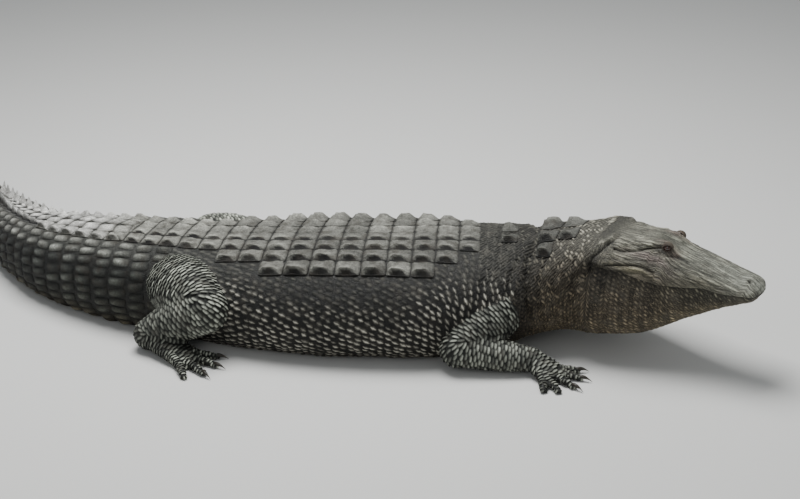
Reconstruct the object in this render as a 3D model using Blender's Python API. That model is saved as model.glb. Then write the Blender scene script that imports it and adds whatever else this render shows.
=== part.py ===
"""American alligator lying on its belly, life size, as a museum model.

The animal is laid out along a spine that is a curve in plan. A place on it is
given by three numbers: s, metres along the spine from the snout tip, u, metres
to the animal's left of the spine, and z, metres above the floor. The head points
to +X, the animal's left side is +Y, and the origin is on the floor under the
middle of the belly.
"""

import math
import random

import bmesh
import bpy
import numpy as np
from mathutils import Matrix, Vector

# Lengths along the spine, from the snout tip, in metres
TOTAL_LENGTH = 3.45
HEAD_END = 0.43
NECK_END = 0.68
CHEST_END = 1.02
BELLY_END = 1.38
VENT = 1.75
TAIL_ENDS = (2.09, 2.43, 2.77, 3.11)
BODY_ENDS = (HEAD_END, NECK_END, CHEST_END, BELLY_END, VENT) + TAIL_ENDS + (TOTAL_LENGTH,)
ORIGIN_STATION = 1.17
NECK_BLEND = 0.13

# Parting gap between touching pieces, and how deep a root is sunk
GAP = 0.0003
ROOT = 0.006

# Sampling of the lofted body
RING_STEP = 0.068
HEAD_UPPER = 10
UPPER = 8
LOWER = 5
LIMB_SIDES = 10

# Dorsal shield
SHIELD_START = 0.80
SHIELD_ROWS = 17
SCUTE_HEIGHT = 0.010
SCUTE_RIM = 0.0035

# Tail crest
WHORLS = 37
SINGLE_CREST = 2.62

# Head details
EYE_STATION = 0.252
EYE_OUT = 0.0430
EYE_UP = 0.3480
EYE_RADIUS = 0.0145
EAR_STATION = 0.338
EAR_OUT = 0.0685
EAR_UP = 0.349
NOSTRIL_STATION = 0.030
NOSTRIL_OUT = 0.016

RNG = random.Random(7)


class Profile:
    """A smooth curve through a few (station, value) points that never overshoots."""

    def __init__(self, *points):
        self.x = np.array([p[0] for p in points], float)
        self.y = np.array([p[1] for p in points], float)
        step = np.diff(self.x)
        rise = np.diff(self.y) / step
        slope = np.zeros(len(self.x))
        slope[0] = rise[0]
        slope[-1] = rise[-1]
        for i in range(1, len(self.x) - 1):
            if rise[i - 1] * rise[i] > 0:
                before = 2 * step[i] + step[i - 1]
                after = step[i] + 2 * step[i - 1]
                slope[i] = (before + after) / (before / rise[i - 1] + after / rise[i])
        self.slope = slope

    def __call__(self, x):
        x = min(max(x, self.x[0]), self.x[-1])
        i = min(max(int(np.searchsorted(self.x, x)) - 1, 0), len(self.x) - 2)
        h = self.x[i + 1] - self.x[i]
        t = (x - self.x[i]) / h
        return float(
            (1 + 2 * t) * (1 - t) ** 2 * self.y[i]
            + t * (1 - t) ** 2 * h * self.slope[i]
            + t * t * (3 - 2 * t) * self.y[i + 1]
            + t * t * (t - 1) * h * self.slope[i + 1]
        )


# Heading of the spine in plan: degrees by which the head end is turned to the right
HEADING = Profile(
    (0.00, 31), (0.42, 31), (0.52, 24), (0.62, 13), (0.72, 6), (0.85, 3.5), (1.00, 4),
    (1.20, 6.5), (1.45, 10.5), (1.65, 14), (1.82, 20), (1.98, 30), (2.12, 42), (2.30, 54),
    (2.50, 61), (2.80, 60), (3.05, 46), (3.25, 28), (3.45, 10),
)
# Heights above the floor of the back and of the belly, keels left out
TOP = Profile(
    (0.00, 0.271), (0.005, 0.278), (0.035, 0.286), (0.085, 0.300), (0.135, 0.316), (0.19, 0.333),
    (0.25, 0.350), (0.30, 0.360), (0.42, 0.360), (0.49, 0.344), (0.56, 0.322), (0.64, 0.304),
    (0.76, 0.292), (0.90, 0.291), (1.17, 0.281), (1.40, 0.266), (1.60, 0.255), (1.75, 0.250),
    (2.00, 0.228), (2.20, 0.198), (2.50, 0.154), (2.80, 0.114), (3.10, 0.074), (3.30, 0.046),
    (3.45, 0.018),
)
BOTTOM = Profile(
    (0.00, 0.254), (0.008, 0.242), (0.04, 0.227), (0.09, 0.203), (0.14, 0.174), (0.20, 0.140),
    (0.25, 0.108), (0.31, 0.078), (0.42, 0.056), (0.54, 0.040), (0.62, 0.024), (0.70, 0.000),
    (0.78, -0.024), (0.90, -0.036), (1.60, -0.036), (1.80, -0.030), (2.20, -0.018), (2.80, -0.008),
    (3.45, -0.003),
)
# Half width of neck, trunk and tail, the height where it is widest, and how square they are
HALF_WIDTH = Profile(
    (0.43, 0.150), (0.50, 0.168), (0.58, 0.184), (0.66, 0.200), (0.75, 0.230), (0.86, 0.260),
    (1.00, 0.280), (1.20, 0.285), (1.40, 0.270), (1.56, 0.238), (1.70, 0.203), (1.80, 0.182),
    (1.95, 0.156), (2.10, 0.133), (2.30, 0.106), (2.50, 0.083), (2.80, 0.055), (3.10, 0.034),
    (3.30, 0.020), (3.45, 0.006),
)
WIDEST = Profile(
    (0.43, 0.215), (0.56, 0.180), (0.70, 0.145), (0.90, 0.125), (1.60, 0.115), (1.80, 0.108),
    (2.20, 0.080), (2.80, 0.042), (3.20, 0.024), (3.45, 0.009),
)
UPPER_POWER = Profile((0.43, 2.2), (0.9, 2.1), (1.6, 2.2), (1.9, 2.5), (2.4, 2.3), (2.8, 1.8), (3.45, 2.0))
LOWER_POWER = Profile((0.43, 2.2), (0.8, 2.4), (1.8, 2.6), (3.45, 2.6))
# Head: half width along the lip, height of the lip line, half width of the flat top, jowl bulge
LIP_WIDTH = Profile(
    (0.000, 0.026), (0.006, 0.048), (0.020, 0.065), (0.045, 0.075), (0.08, 0.080), (0.12, 0.080),
    (0.16, 0.087), (0.21, 0.096), (0.27, 0.112), (0.33, 0.127), (0.39, 0.138), (0.43, 0.143),
)
LIP_HEIGHT = Profile(
    (0.00, 0.262), (0.04, 0.268), (0.09, 0.266), (0.14, 0.270), (0.19, 0.264), (0.24, 0.262),
    (0.30, 0.274), (0.36, 0.288), (0.43, 0.292),
)
TABLE_WIDTH = Profile(
    (0.00, 0.012), (0.03, 0.026), (0.12, 0.030), (0.20, 0.032), (0.26, 0.046), (0.31, 0.060),
    (0.43, 0.066),
)
JOWL = Profile((0.10, 0.0), (0.20, 0.006), (0.30, 0.022), (0.38, 0.036), (0.43, 0.040))
CHEEK_POWER = Profile((0.0, 0.75), (0.15, 0.80), (0.22, 1.10), (0.27, 1.50), (0.33, 1.35), (0.43, 1.10))
TABLE_SHARES = (0.0, 0.40, 0.75, 1.0)
BROW_RISE = 0.015
EAR_HOLLOW = 0.022
LIP_OVERLAP = Profile((0.00, 0.004), (0.30, 0.005), (0.36, 0.004), (0.41, 0.0), (0.43, 0.0))


def spine_table():
    """Plan position and heading of the spine at closely spaced stations."""
    stations = np.linspace(0.0, TOTAL_LENGTH, 1381)
    turn = np.radians([HEADING(s) for s in stations])
    step = stations[1] - stations[0]
    dx = -np.cos(turn)
    dy = np.sin(turn)
    x = np.concatenate([[0.0], np.cumsum((dx[1:] + dx[:-1]) / 2 * step)])
    y = np.concatenate([[0.0], np.cumsum((dy[1:] + dy[:-1]) / 2 * step)])
    x -= np.interp(ORIGIN_STATION, stations, x)
    y -= np.interp(ORIGIN_STATION, stations, y)
    return stations, x, y, turn


SPINE_S, SPINE_X, SPINE_Y, SPINE_TURN = spine_table()


def place(s, u, z):
    """World position of a place on the animal."""
    turn = float(np.interp(s, SPINE_S, SPINE_TURN))
    x = float(np.interp(s, SPINE_S, SPINE_X)) + u * math.sin(turn)
    y = float(np.interp(s, SPINE_S, SPINE_Y)) + u * math.cos(turn)
    return Vector((x, y, z))


def directions(s):
    """Forward and left unit vectors at a station."""
    turn = float(np.interp(s, SPINE_S, SPINE_TURN))
    return Vector((math.cos(turn), -math.sin(turn), 0)), Vector((math.sin(turn), math.cos(turn), 0))


def smooth(t):
    t = min(max(t, 0.0), 1.0)
    return t * t * (3 - 2 * t)


def hump(x, centre, reach):
    """A smooth hill of height 1 about a centre."""
    return math.exp(-((x - centre) / reach) ** 2)


def head_relief(s, u, z):
    """Brows, nose, ear hollows and the dip before the eyes, added to a plain head section."""
    side = abs(u)
    length = 0.020 if s < EYE_STATION else 0.030
    rise = BROW_RISE * hump(s, EYE_STATION, length) * hump(side, EYE_OUT - 0.004, 0.016)
    rise -= 0.005 * hump(s, EYE_STATION, 0.034) * hump(side, 0.0, 0.020)
    rise -= 0.005 * hump(s, 0.195, 0.030) * hump(side, 0.0, 0.040)
    rise += 0.009 * hump(s, NOSTRIL_STATION + 0.002, 0.018) * hump(side, 0.0, 0.030)
    hollow = EAR_HOLLOW * hump(s, EAR_STATION, 0.050) * hump(z, TOP(s) - 0.018, 0.016)
    cheek = 0.008 * hump(s, 0.400, 0.035) * hump(z, LIP_HEIGHT(s) + 0.012, 0.018)
    out = side + (cheek - hollow) * min(side / 0.05, 1.0)
    return math.copysign(out, u), z + rise


def head_half(s, upper=UPPER):
    """Half section of the head, from the top line by the lip to the throat line."""
    top = TOP(s)
    lip = LIP_HEIGHT(s)
    table = TABLE_WIDTH(s)
    width = LIP_WIDTH(s)
    power = CHEEK_POWER(s)
    half = []
    for share in TABLE_SHARES:
        half.append((table * share, top - 0.003 * share ** 2))
    cheek = upper - len(TABLE_SHARES) + 1
    for i in range(1, cheek + 1):
        t = math.pi / 2 * i / cheek
        fall = max(math.cos(t), 0.0) ** power if i < cheek else 0.0
        half.append((table + (width - table) * math.sin(t) ** power, lip + (top - 0.003 - lip) * fall))
    half = [head_relief(s, u, z) for u, z in half[:-1]] + [half[-1]]
    half[0] = (0.0, half[0][1])
    for i in range(1, LOWER + 1):
        t = math.pi / 2 * i / LOWER
        out = (width - LIP_OVERLAP(s)) * max(math.cos(t), 0.0) ** 0.75 + JOWL(s) * math.sin(2 * t)
        half.append((out if i < LOWER else 0.0, lip - (lip - BOTTOM(s)) * math.sin(t) ** 0.85))
    return half


def body_half(s, grow=0.0, floor=0.0):
    """Half section of neck, trunk or tail, from the top line to the belly line."""
    width = HALF_WIDTH(s) + grow
    top = TOP(s) + grow
    widest = WIDEST(s)
    bottom = BOTTOM(s) - grow
    upper = 2 / UPPER_POWER(s)
    lower = 2 / LOWER_POWER(s)
    half = []
    for i in range(UPPER + 1):
        t = math.pi / 2 * i / UPPER
        rise = max(math.cos(t), 0.0) ** upper if i < UPPER else 0.0
        half.append((width * math.sin(t) ** upper, widest + (top - widest) * rise))
    for i in range(1, LOWER + 1):
        t = math.pi / 2 * i / LOWER
        out = max(math.cos(t), 0.0) ** lower if i < LOWER else 0.0
        half.append((width * out, max(widest - (widest - bottom) * math.sin(t) ** lower, floor)))
    return half


def section_half(s, grow=0.0, floor=0.0):
    """Half section at any station: head, then a blend into the neck, then the body."""
    share = smooth((s - HEAD_END) / NECK_BLEND)
    if share <= 0.0:
        return head_half(s)
    body = body_half(s, grow, floor)
    if share >= 1.0:
        return body
    middle = WIDEST(s)
    head = [(u + grow if u > 0 else 0.0, z + (grow if z > middle else -grow)) for u, z in head_half(s)]
    return [
        (a[0] + (b[0] - a[0]) * share, a[1] + (b[1] - a[1]) * share)
        for a, b in zip(head, body)
    ]


def back_height(s, u):
    """Height of the back at a distance u from the top line."""
    width = HALF_WIDTH(s)
    power = UPPER_POWER(s)
    share = min(abs(u) / width, 0.999)
    return WIDEST(s) + (TOP(s) - WIDEST(s)) * (1 - share ** power) ** (1 / power)


def stations_between(start, end, step=RING_STEP):
    count = max(2, int(round((end - start) / step)))
    return [start + (end - start) * i / count for i in range(count + 1)]


def loft(rings):
    """A closed mesh through rings of equal point counts, with flat ends."""
    bm = bmesh.new()
    loops = [[bm.verts.new(p) for p in ring] for ring in rings]
    count = len(rings[0])
    for a, b in zip(loops, loops[1:]):
        for i in range(count):
            j = (i + 1) % count
            bm.faces.new((a[i], a[j], b[j]))
            bm.faces.new((a[i], b[j], b[i]))
    bm.faces.new(loops[0])
    bm.faces.new(loops[-1])
    bmesh.ops.remove_doubles(bm, verts=bm.verts, dist=1e-6)
    bmesh.ops.recalc_face_normals(bm, faces=bm.faces)
    mesh = bpy.data.meshes.new("loft")
    bm.to_mesh(mesh)
    bm.free()
    return mesh


def whole_ring(s, half):
    """World points round a whole section from its half."""
    right = [place(s, -u, z) for u, z in half]
    left = [place(s, u, z) for u, z in half[1:-1]]
    return right + left[::-1]


def make_object(name, mesh, collection):
    obj = bpy.data.objects.new(name, mesh)
    collection.objects.link(obj)
    return obj


def body_length(name, start, end, collection):
    """One length of neck, trunk or tail."""
    stations = stations_between(start + GAP / 2, end - GAP / 2)
    rings = [whole_ring(s, section_half(s)) for s in stations]
    return make_object(name, loft(rings), collection)


def body_cutter(collection):
    """The body grown by the gap, on the same stations, to cut the limbs that lie against it."""
    rings = []
    for start, end in zip(BODY_ENDS[:-3], BODY_ENDS[1:-2]):
        for s in stations_between(start + GAP / 2, end - GAP / 2):
            rings.append(whole_ring(s, section_half(s, GAP, -0.02)))
    return make_object("trunk_cutter", loft(rings), collection)


def head_stations():
    front = [0.0, 0.003, 0.008, 0.017, 0.029, 0.045, 0.07, 0.10, 0.14, 0.175, 0.202]
    eyes = [0.220, 0.232, 0.243, 0.255, 0.268, 0.284]
    return front + eyes + stations_between(0.303, HEAD_END - GAP / 2, 0.022)


def upper_head(name, collection):
    """Skull and upper jaw, flat along the lip line."""
    rings = []
    for s in head_stations():
        half = head_half(s, HEAD_UPPER)[: HEAD_UPPER + 1]
        lip = LIP_HEIGHT(s) + GAP / 2
        half[-1] = (half[-1][0], lip)
        right = [place(s, -u, z) for u, z in half]
        left = [place(s, u, z) for u, z in half[1:]]
        rings.append(right + left[::-1])
    return make_object(name, loft(rings), collection)


def lower_jaw(name, collection):
    """Lower jaw and throat, its edge just inside the upper lip."""
    rings = []
    for s in head_stations()[1:]:
        half = head_half(s)[UPPER:]
        half[0] = (half[0][0] - LIP_OVERLAP(s), LIP_HEIGHT(s) - GAP / 2)
        right = [place(s, -u, z) for u, z in half]
        left = [place(s, u, z) for u, z in half[:-1]]
        rings.append(right + left[::-1])
    return make_object(name, loft(rings), collection)


def ellipsoid(name, centre, axes, radii, collection, segments=14, rings=8):
    """A stretched ball whose axes are given as three unit vectors."""
    bm = bmesh.new()
    bmesh.ops.create_uvsphere(bm, u_segments=segments, v_segments=rings, radius=1.0)
    turn = Matrix((axes[0] * radii[0], axes[1] * radii[1], axes[2] * radii[2])).transposed()
    for vert in bm.verts:
        vert.co = centre + turn @ vert.co
    bmesh.ops.recalc_face_normals(bm, faces=bm.faces)
    mesh = bpy.data.meshes.new(name)
    bm.to_mesh(mesh)
    bm.free()
    return make_object(name, mesh, collection)


def tube(name, centres, sizes, collection, sides=LIMB_SIDES, floor=0.0, rounding=None):
    """A limb-like tube: rings of half width and half height about a path."""
    centres = [Vector(c) for c in centres]
    sizes = [tuple(v) for v in sizes]
    rounding = ROUNDING if rounding is None else rounding
    if rounding:
        first = (centres[0] - centres[1]).normalized()
        last = (centres[-1] - centres[-2]).normalized()
        head = []
        tail = []
        for reach, shrink in rounding:
            near = centres[0] + first * (min(sizes[0]) * reach)
            far = centres[-1] + last * (min(sizes[-1]) * reach)
            head.append((near, tuple(v * shrink for v in sizes[0])))
            tail.append((far, tuple(v * shrink for v in sizes[-1])))
        centres = [c for c, _ in head] + centres + [c for c, _ in reversed(tail)]
        sizes = [v for _, v in head] + sizes + [v for _, v in reversed(tail)]
    rings = []
    for i, centre in enumerate(centres):
        along = (centres[min(i + 1, len(centres) - 1)] - centres[max(i - 1, 0)]).normalized()
        side = along.cross(Vector((0, 0, 1)))
        side = side.normalized() if side.length > 1e-4 else Vector((0, 1, 0))
        up = side.cross(along).normalized()
        wide, high = sizes[i]
        ring = []
        for k in range(sides):
            angle = 2 * math.pi * (k + 0.5) / sides
            point = centre + side * wide * math.cos(angle) + up * high * math.sin(angle)
            point.z = max(point.z, floor)
            ring.append(point)
        rings.append(ring)
    return make_object(name, loft(rings), collection)


# Rounding of a tube's end: how far out a ring lies and how much it shrinks
ROUNDING = ((0.85, 0.55),)
TOE_ROUNDING = ((0.75, 0.55),)


def apply_modifier(obj, modifier):
    bpy.context.view_layer.update()
    evaluated = obj.evaluated_get(bpy.context.evaluated_depsgraph_get())
    mesh = bpy.data.meshes.new_from_object(evaluated)
    obj.modifiers.remove(modifier)
    old = obj.data
    obj.data = mesh
    bpy.data.meshes.remove(old)


def boolean(obj, operation, collection):
    """Join to or cut from an object all that a collection holds, which is then emptied."""
    modifier = obj.modifiers.new(operation.lower(), "BOOLEAN")
    modifier.operation = operation
    modifier.operand_type = "COLLECTION"
    modifier.collection = collection
    modifier.solver = "EXACT"
    apply_modifier(obj, modifier)
    for piece in list(collection.objects):
        bpy.data.objects.remove(piece)
    keep_largest(obj)


def cut(obj, cutter):
    """Cut one object by another, which stays for further cuts."""
    modifier = obj.modifiers.new("cut", "BOOLEAN")
    modifier.operation = "DIFFERENCE"
    modifier.object = cutter
    modifier.solver = "EXACT"
    apply_modifier(obj, modifier)
    keep_largest(obj)


def keep_largest(obj):
    """Keep only the closed surface that holds the most, and weld its doubles."""
    bm = bmesh.new()
    bm.from_mesh(obj.data)
    bmesh.ops.remove_doubles(bm, verts=bm.verts, dist=1e-5)
    bmesh.ops.dissolve_degenerate(bm, edges=bm.edges, dist=1e-5)
    bmesh.ops.triangulate(bm, faces=bm.faces)
    unseen = set(bm.faces)
    shells = []
    while unseen:
        stack = [unseen.pop()]
        shell = list(stack)
        while stack:
            face = stack.pop()
            for edge in face.edges:
                for other in edge.link_faces:
                    if other in unseen:
                        unseen.remove(other)
                        stack.append(other)
                        shell.append(other)
        shells.append(shell)
    biggest = max(shells, key=shell_volume)
    loose = [face for shell in shells if shell is not biggest for face in shell]
    bmesh.ops.delete(bm, geom=loose, context="FACES")
    bm.to_mesh(obj.data)
    bm.free()


def shell_volume(shell):
    total = 0.0
    for face in shell:
        a, b, c = [v.co for v in face.verts]
        total += a.dot(b.cross(c)) / 6
    return abs(total)


def material(name, colour, roughness, metallic=0.0):
    mat = bpy.data.materials.new(name)
    mat.use_nodes = True
    shader = mat.node_tree.nodes["Principled BSDF"]
    shader.inputs["Base Color"].default_value = (*colour, 1)
    shader.inputs["Roughness"].default_value = roughness
    shader.inputs["Metallic"].default_value = metallic
    return mat


# Limb joints in metres ahead of, outside and above a body station, and their thickness
FORE_STATION = 0.72
SHOULDER = (-0.020, 0.165, 0.135)
ELBOW = (-0.125, 0.268, 0.062)
WRIST = (0.080, 0.258, 0.036)
PALM_END = (0.140, 0.302, 0.016)
HIND_STATION = 1.62
HIP = (0.000, 0.150, 0.152)
# The left knee, hidden behind the back, is folded flatter than the right one
KNEES = {-1: (0.115, 0.250, 0.140), 1: (0.110, 0.236, 0.106)}
HEEL = (-0.055, 0.262, 0.045)
SOLE_END = (0.075, 0.315, 0.016)
UPPER_ARM_SIZE = ((0.072, 0.078), (0.062, 0.066), (0.048, 0.052))
FOREARM_SIZE = ((0.043, 0.046), (0.044, 0.042), (0.032, 0.030))
THIGH_SIZE = ((0.094, 0.088), (0.088, 0.092), (0.064, 0.070))
SHANK_SIZE = ((0.060, 0.068), (0.056, 0.060), (0.040, 0.043))
FINGERS = ((-48, 0.060), (-22, 0.078), (2, 0.085), (26, 0.078), (50, 0.060))
TOES = ((-30, 0.085), (-9, 0.105), (12, 0.110), (34, 0.092))
CLAWED = 3
CLAW_HEIGHTS = (0.0098, 0.0075, 0.0030)
CLAW_SIZES = ((0.0050, 0.0055), (0.0032, 0.0038), (0.0008, 0.0010))


def limb_point(station, offset, side):
    """World point from metres ahead, outside and above a station on one side."""
    forward, left = directions(station)
    ahead, out, up = offset
    return place(station, 0.0, up) + forward * ahead + left * (out * side)


def limb_segment(name, start, end, sizes, collection, grow=0.0, floor=0.0, steps=4):
    """One straight length of a limb, its thickness passing smoothly through three sizes."""
    centres = []
    rings = []
    for i in range(steps + 1):
        t = i / steps
        centres.append(start.lerp(end, t))
        weights = ((1 - t) * (1 - 2 * t), 4 * t * (1 - t), t * (2 * t - 1))
        rings.append(tuple(sum(w * size[k] for w, size in zip(weights, sizes)) + grow for k in (0, 1)))
    return tube(name, centres, rings, collection, floor=floor)


def digits(root, forward, outward, fan, base_width, thickness, collection):
    """Toes spread in a fan from the end of a palm, the inner three with claws."""
    for index, (angle, length) in enumerate(fan):
        turn = math.radians(angle)
        along = forward * math.cos(turn) + outward * math.sin(turn)
        start = root + outward * math.sin(turn) * base_width - forward * 0.018
        points = []
        sizes = []
        for k in range(3):
            t = k / 2
            height = thickness * (1.05 - 0.35 * t)
            point = start + along * (length * t)
            point.z = height + 0.005 * math.sin(math.pi * t)
            points.append(point)
            sizes.append((0.0125 * (1.1 - 0.35 * t), height))
        tube("toe", points, sizes, collection, sides=5, rounding=TOE_ROUNDING)
        if index < CLAWED:
            tip = points[-1]
            centres = [tip + along * 0.004, tip + along * 0.020, tip + along * 0.034]
            for centre, height in zip(centres, CLAW_HEIGHTS):
                centre.z = height
            tube("claw", centres, CLAW_SIZES, collection, sides=4, rounding=())


def web(root, forward, outward, fan, base_width, collection):
    """A thin web between the toes of a hind foot."""
    points = [root - forward * 0.03 + outward * (base_width * k) for k in (-0.8, 0.8)]
    rim = []
    for index, (angle, length) in enumerate(fan):
        turn = math.radians(angle)
        along = forward * math.cos(turn) + outward * math.sin(turn)
        rim.append(root + outward * math.sin(turn) * base_width + along * (length * 0.60))
        if index + 1 < len(fan):
            middle = math.radians((angle + fan[index + 1][0]) / 2)
            between = forward * math.cos(middle) + outward * math.sin(middle)
            rim.append(root + outward * math.sin(middle) * base_width + between * (length * 0.42))
    outline = [points[0]] + rim + [points[1]]
    low = [Vector((p.x, p.y, 0.0035)) for p in outline]
    high = [Vector((p.x, p.y, 0.0085)) for p in outline]
    make_object("web", loft([low, high]), collection)


def build_fore_limb(side_name, side, parts, work, trunk):
    """Upper arm, forearm and hand of one side."""
    shoulder, elbow, wrist, palm_end = (
        limb_point(FORE_STATION, offset, side) for offset in (SHOULDER, ELBOW, WRIST, PALM_END)
    )
    arm = limb_segment("upper_arm_" + side_name, shoulder, elbow, UPPER_ARM_SIZE, parts)
    cut(arm, trunk)
    arm_cutter = limb_segment("cutter", shoulder, elbow, UPPER_ARM_SIZE, work, GAP, -0.02)
    forearm = limb_segment("forearm_" + side_name, elbow, wrist, FOREARM_SIZE, parts)
    cut(forearm, trunk)
    cut(forearm, arm_cutter)
    forearm_cutter = limb_segment("cutter", elbow, wrist, FOREARM_SIZE, work, GAP, -0.02)
    forward = (palm_end - wrist)
    forward.z = 0
    forward.normalize()
    outward = Vector((-forward.y, forward.x, 0)) * side
    sizes = ((0.030, 0.028), (0.042, 0.022), (0.050, 0.015))
    hand = limb_segment("hand_" + side_name, wrist, palm_end, sizes, parts)
    pieces = bpy.data.collections.new("pieces")
    bpy.context.scene.collection.children.link(pieces)
    digits(palm_end, forward, outward, FINGERS, 0.040, 0.0105, pieces)
    boolean(hand, "UNION", pieces)
    cut(hand, trunk)
    cut(hand, forearm_cutter)
    bpy.data.collections.remove(pieces)
    for cutter in (arm_cutter, forearm_cutter):
        bpy.data.objects.remove(cutter)
    return arm, forearm, hand


def build_hind_limb(side_name, side, parts, work, trunk):
    """Thigh, shank and webbed foot of one side."""
    hip, knee, heel, sole_end = (
        limb_point(HIND_STATION, offset, side) for offset in (HIP, KNEES[side], HEEL, SOLE_END)
    )
    thigh = limb_segment("thigh_" + side_name, hip, knee, THIGH_SIZE, parts)
    cut(thigh, trunk)
    thigh_cutter = limb_segment("cutter", hip, knee, THIGH_SIZE, work, GAP, -0.02)
    shank = limb_segment("shank_" + side_name, knee, heel, SHANK_SIZE, parts)
    cut(shank, trunk)
    cut(shank, thigh_cutter)
    shank_cutter = limb_segment("cutter", knee, heel, SHANK_SIZE, work, GAP, -0.02)
    forward = (sole_end - heel)
    forward.z = 0
    forward.normalize()
    outward = Vector((-forward.y, forward.x, 0)) * side
    sizes = ((0.034, 0.036), (0.040, 0.026), (0.050, 0.016))
    foot = limb_segment("foot_" + side_name, heel, sole_end, sizes, parts)
    pieces = bpy.data.collections.new("pieces")
    bpy.context.scene.collection.children.link(pieces)
    digits(sole_end, forward, outward, TOES, 0.040, 0.0115, pieces)
    web(sole_end, forward, outward, TOES, 0.040, pieces)
    boolean(foot, "UNION", pieces)
    cut(foot, trunk)
    cut(foot, thigh_cutter)
    cut(foot, shank_cutter)
    bpy.data.collections.remove(pieces)
    for cutter in (thigh_cutter, shank_cutter):
        bpy.data.objects.remove(cutter)
    return thigh, shank, foot


def scute(s, u, length, width, height, rake, collection, rim=SCUTE_RIM):
    """A keeled plate on the back, its root sunk in, its keel highest towards the rear."""
    forward, left = directions(s)
    slope = (back_height(s, u + 0.01) - back_height(s, u - 0.01)) / 0.02 if abs(u) > 0.011 else 0.0
    fall = (back_height(s - 0.02, u) - back_height(s + 0.02, u)) / 0.04
    across = (left + Vector((0, 0, slope))).normalized()
    ahead = (forward + Vector((0, 0, fall))).normalized()
    up = ahead.cross(across).normalized()
    if up.z < 0:
        up = -up
    centre = place(s, u, back_height(s, u))
    reach = (place(s - 0.01, u, 0) - place(s + 0.01, u, 0)).length / 0.02
    half_long = length / 2 * min(reach, 1.06)
    half_wide = width / 2

    def at(a, c, h):
        return centre + ahead * a + across * c + up * h

    root = [at(a * half_long * 0.94, c * half_wide * 0.94, -ROOT) for a, c in CORNERS]
    plate = [at(a * half_long, c * half_wide * (0.9 if a > 0 else 1.0), rim) for a, c in CORNERS]
    keel_front = at(half_long * 0.72, 0, rim + height * 0.35)
    keel_rear = at(-half_long * (0.55 + rake), 0, rim + height)
    bm = bmesh.new()
    low = [bm.verts.new(p) for p in root]
    high = [bm.verts.new(p) for p in plate]
    front = bm.verts.new(keel_front)
    rear = bm.verts.new(keel_rear)
    bm.faces.new(low)
    for i in range(4):
        j = (i + 1) % 4
        bm.faces.new((low[i], low[j], high[j], high[i]))
    bm.faces.new((high[0], high[1], front))
    bm.faces.new((high[2], high[3], rear))
    bm.faces.new((high[1], high[2], rear, front))
    bm.faces.new((high[3], high[0], front, rear))
    bmesh.ops.triangulate(bm, faces=bm.faces)
    bmesh.ops.recalc_face_normals(bm, faces=bm.faces)
    mesh = bpy.data.meshes.new("scute")
    bm.to_mesh(mesh)
    bm.free()
    return make_object("scute", mesh, collection)


# Corners of a plate: ahead or behind, right or left
CORNERS = ((1, -1), (1, 1), (-1, 1), (-1, -1))


def shield_rows():
    """Station, row length, scutes across and their width for each row of the back."""
    rows = []
    s = SHIELD_START
    for row in range(SHIELD_ROWS):
        share = row / (SHIELD_ROWS - 1)
        middle = 0.008 * math.sin(math.pi * min(share * 1.3, 1.0))
        length = 0.060 + middle - 0.010 * smooth((share - 0.7) / 0.3)
        across = 4 if row == 0 or row > 10 else 6 if row in (1, 9, 10) else 8
        width = 0.051 - 0.006 * smooth((share - 0.65) / 0.35)
        rows.append((s + length / 2, length, across, width))
        s += length
    return rows


def whorl_stations():
    """Stations and lengths of the tail's rings of scales, shorter towards the tip."""
    start = 1.81
    weights = [1.15 - 0.45 * k / (WHORLS - 1) for k in range(WHORLS)]
    scale = (TOTAL_LENGTH - 0.03 - start) / sum(weights)
    rings = []
    s = start
    for weight in weights:
        length = weight * scale
        rings.append((s + length / 2, length))
        s += length
    return rings


def crest_spread(s):
    """Half distance between the two rows of the tail's crest."""
    return 0.062 * (1 - smooth((s - 1.75) / (SINGLE_CREST + 0.05 - 1.75))) + 0.012


def crest_height(share):
    """Height of the tail's crest, low at the root of the tail and tallest where its rows meet."""
    rising = 0.010 + 0.027 * smooth((share - 0.12) / 0.42)
    return min(rising, 0.050 * (1 - share) ** 0.45)


def all_scutes():
    """Place and size of every plate of neck, back and tail."""
    plates = []
    for s, u, length, width in (
        (0.545, 0.036, 0.056, 0.058), (0.607, 0.036, 0.056, 0.060), (0.607, 0.098, 0.050, 0.050),
        (0.720, 0.034, 0.046, 0.044),
    ):
        for side in (-1, 1):
            plates.append((s, u * side, length, width, 0.012, 0.10))
    for s, length, across, width in shield_rows():
        for k in range(across):
            u = (k - (across - 1) / 2) * width
            edge = abs(u) / (width * across / 2)
            height = SCUTE_HEIGHT * (0.75 + 0.35 * edge) * RNG.uniform(0.85, 1.15)
            plates.append((s, u, length - 0.005, width - 0.005, height, 0.12))
    for s, length in whorl_stations():
        share = (s - VENT) / (TOTAL_LENGTH - VENT)
        if s < SINGLE_CREST:
            spread = crest_spread(s)
            tall = crest_height(share) * RNG.uniform(0.92, 1.08)
            wide = min(0.030, 2 * spread - 0.003)
            for side in (-1, 1):
                plates.append((s, spread * side, length - 0.005, wide, tall, 0.35))
                if spread > 0.052:
                    plates.append((s, (spread - 0.038) * side, length - 0.005, 0.034, 0.007, 0.1))
        else:
            tall = crest_height(share) * RNG.uniform(0.94, 1.06)
            wide = max(0.020 * (1 - share) + 0.006, 0.007)
            plates.append((s, 0.0, length - 0.004, wide, tall, 0.45))
    return plates


def add_scutes(node, start, end, plates, work):
    """Fuse to a node of the body the plates that stand wholly on it."""
    pieces = bpy.data.collections.new("pieces")
    bpy.context.scene.collection.children.link(pieces)
    for s, u, length, width, height, rake in plates:
        if start <= s < end:
            front = min(length / 2, s - start - 0.002)
            rear = min(length / 2, end - s - 0.002)
            if front + rear > 0.012:
                scute(s + (rear - front) / 2, u, front + rear, width, height, min(rake, 0.4), pieces)
    if len(pieces.objects):
        boolean(node, "UNION", pieces)
    bpy.data.collections.remove(pieces)


def head_axes():
    forward, left = directions(EYE_STATION)
    return forward, left, Vector((0, 0, 1))


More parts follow.
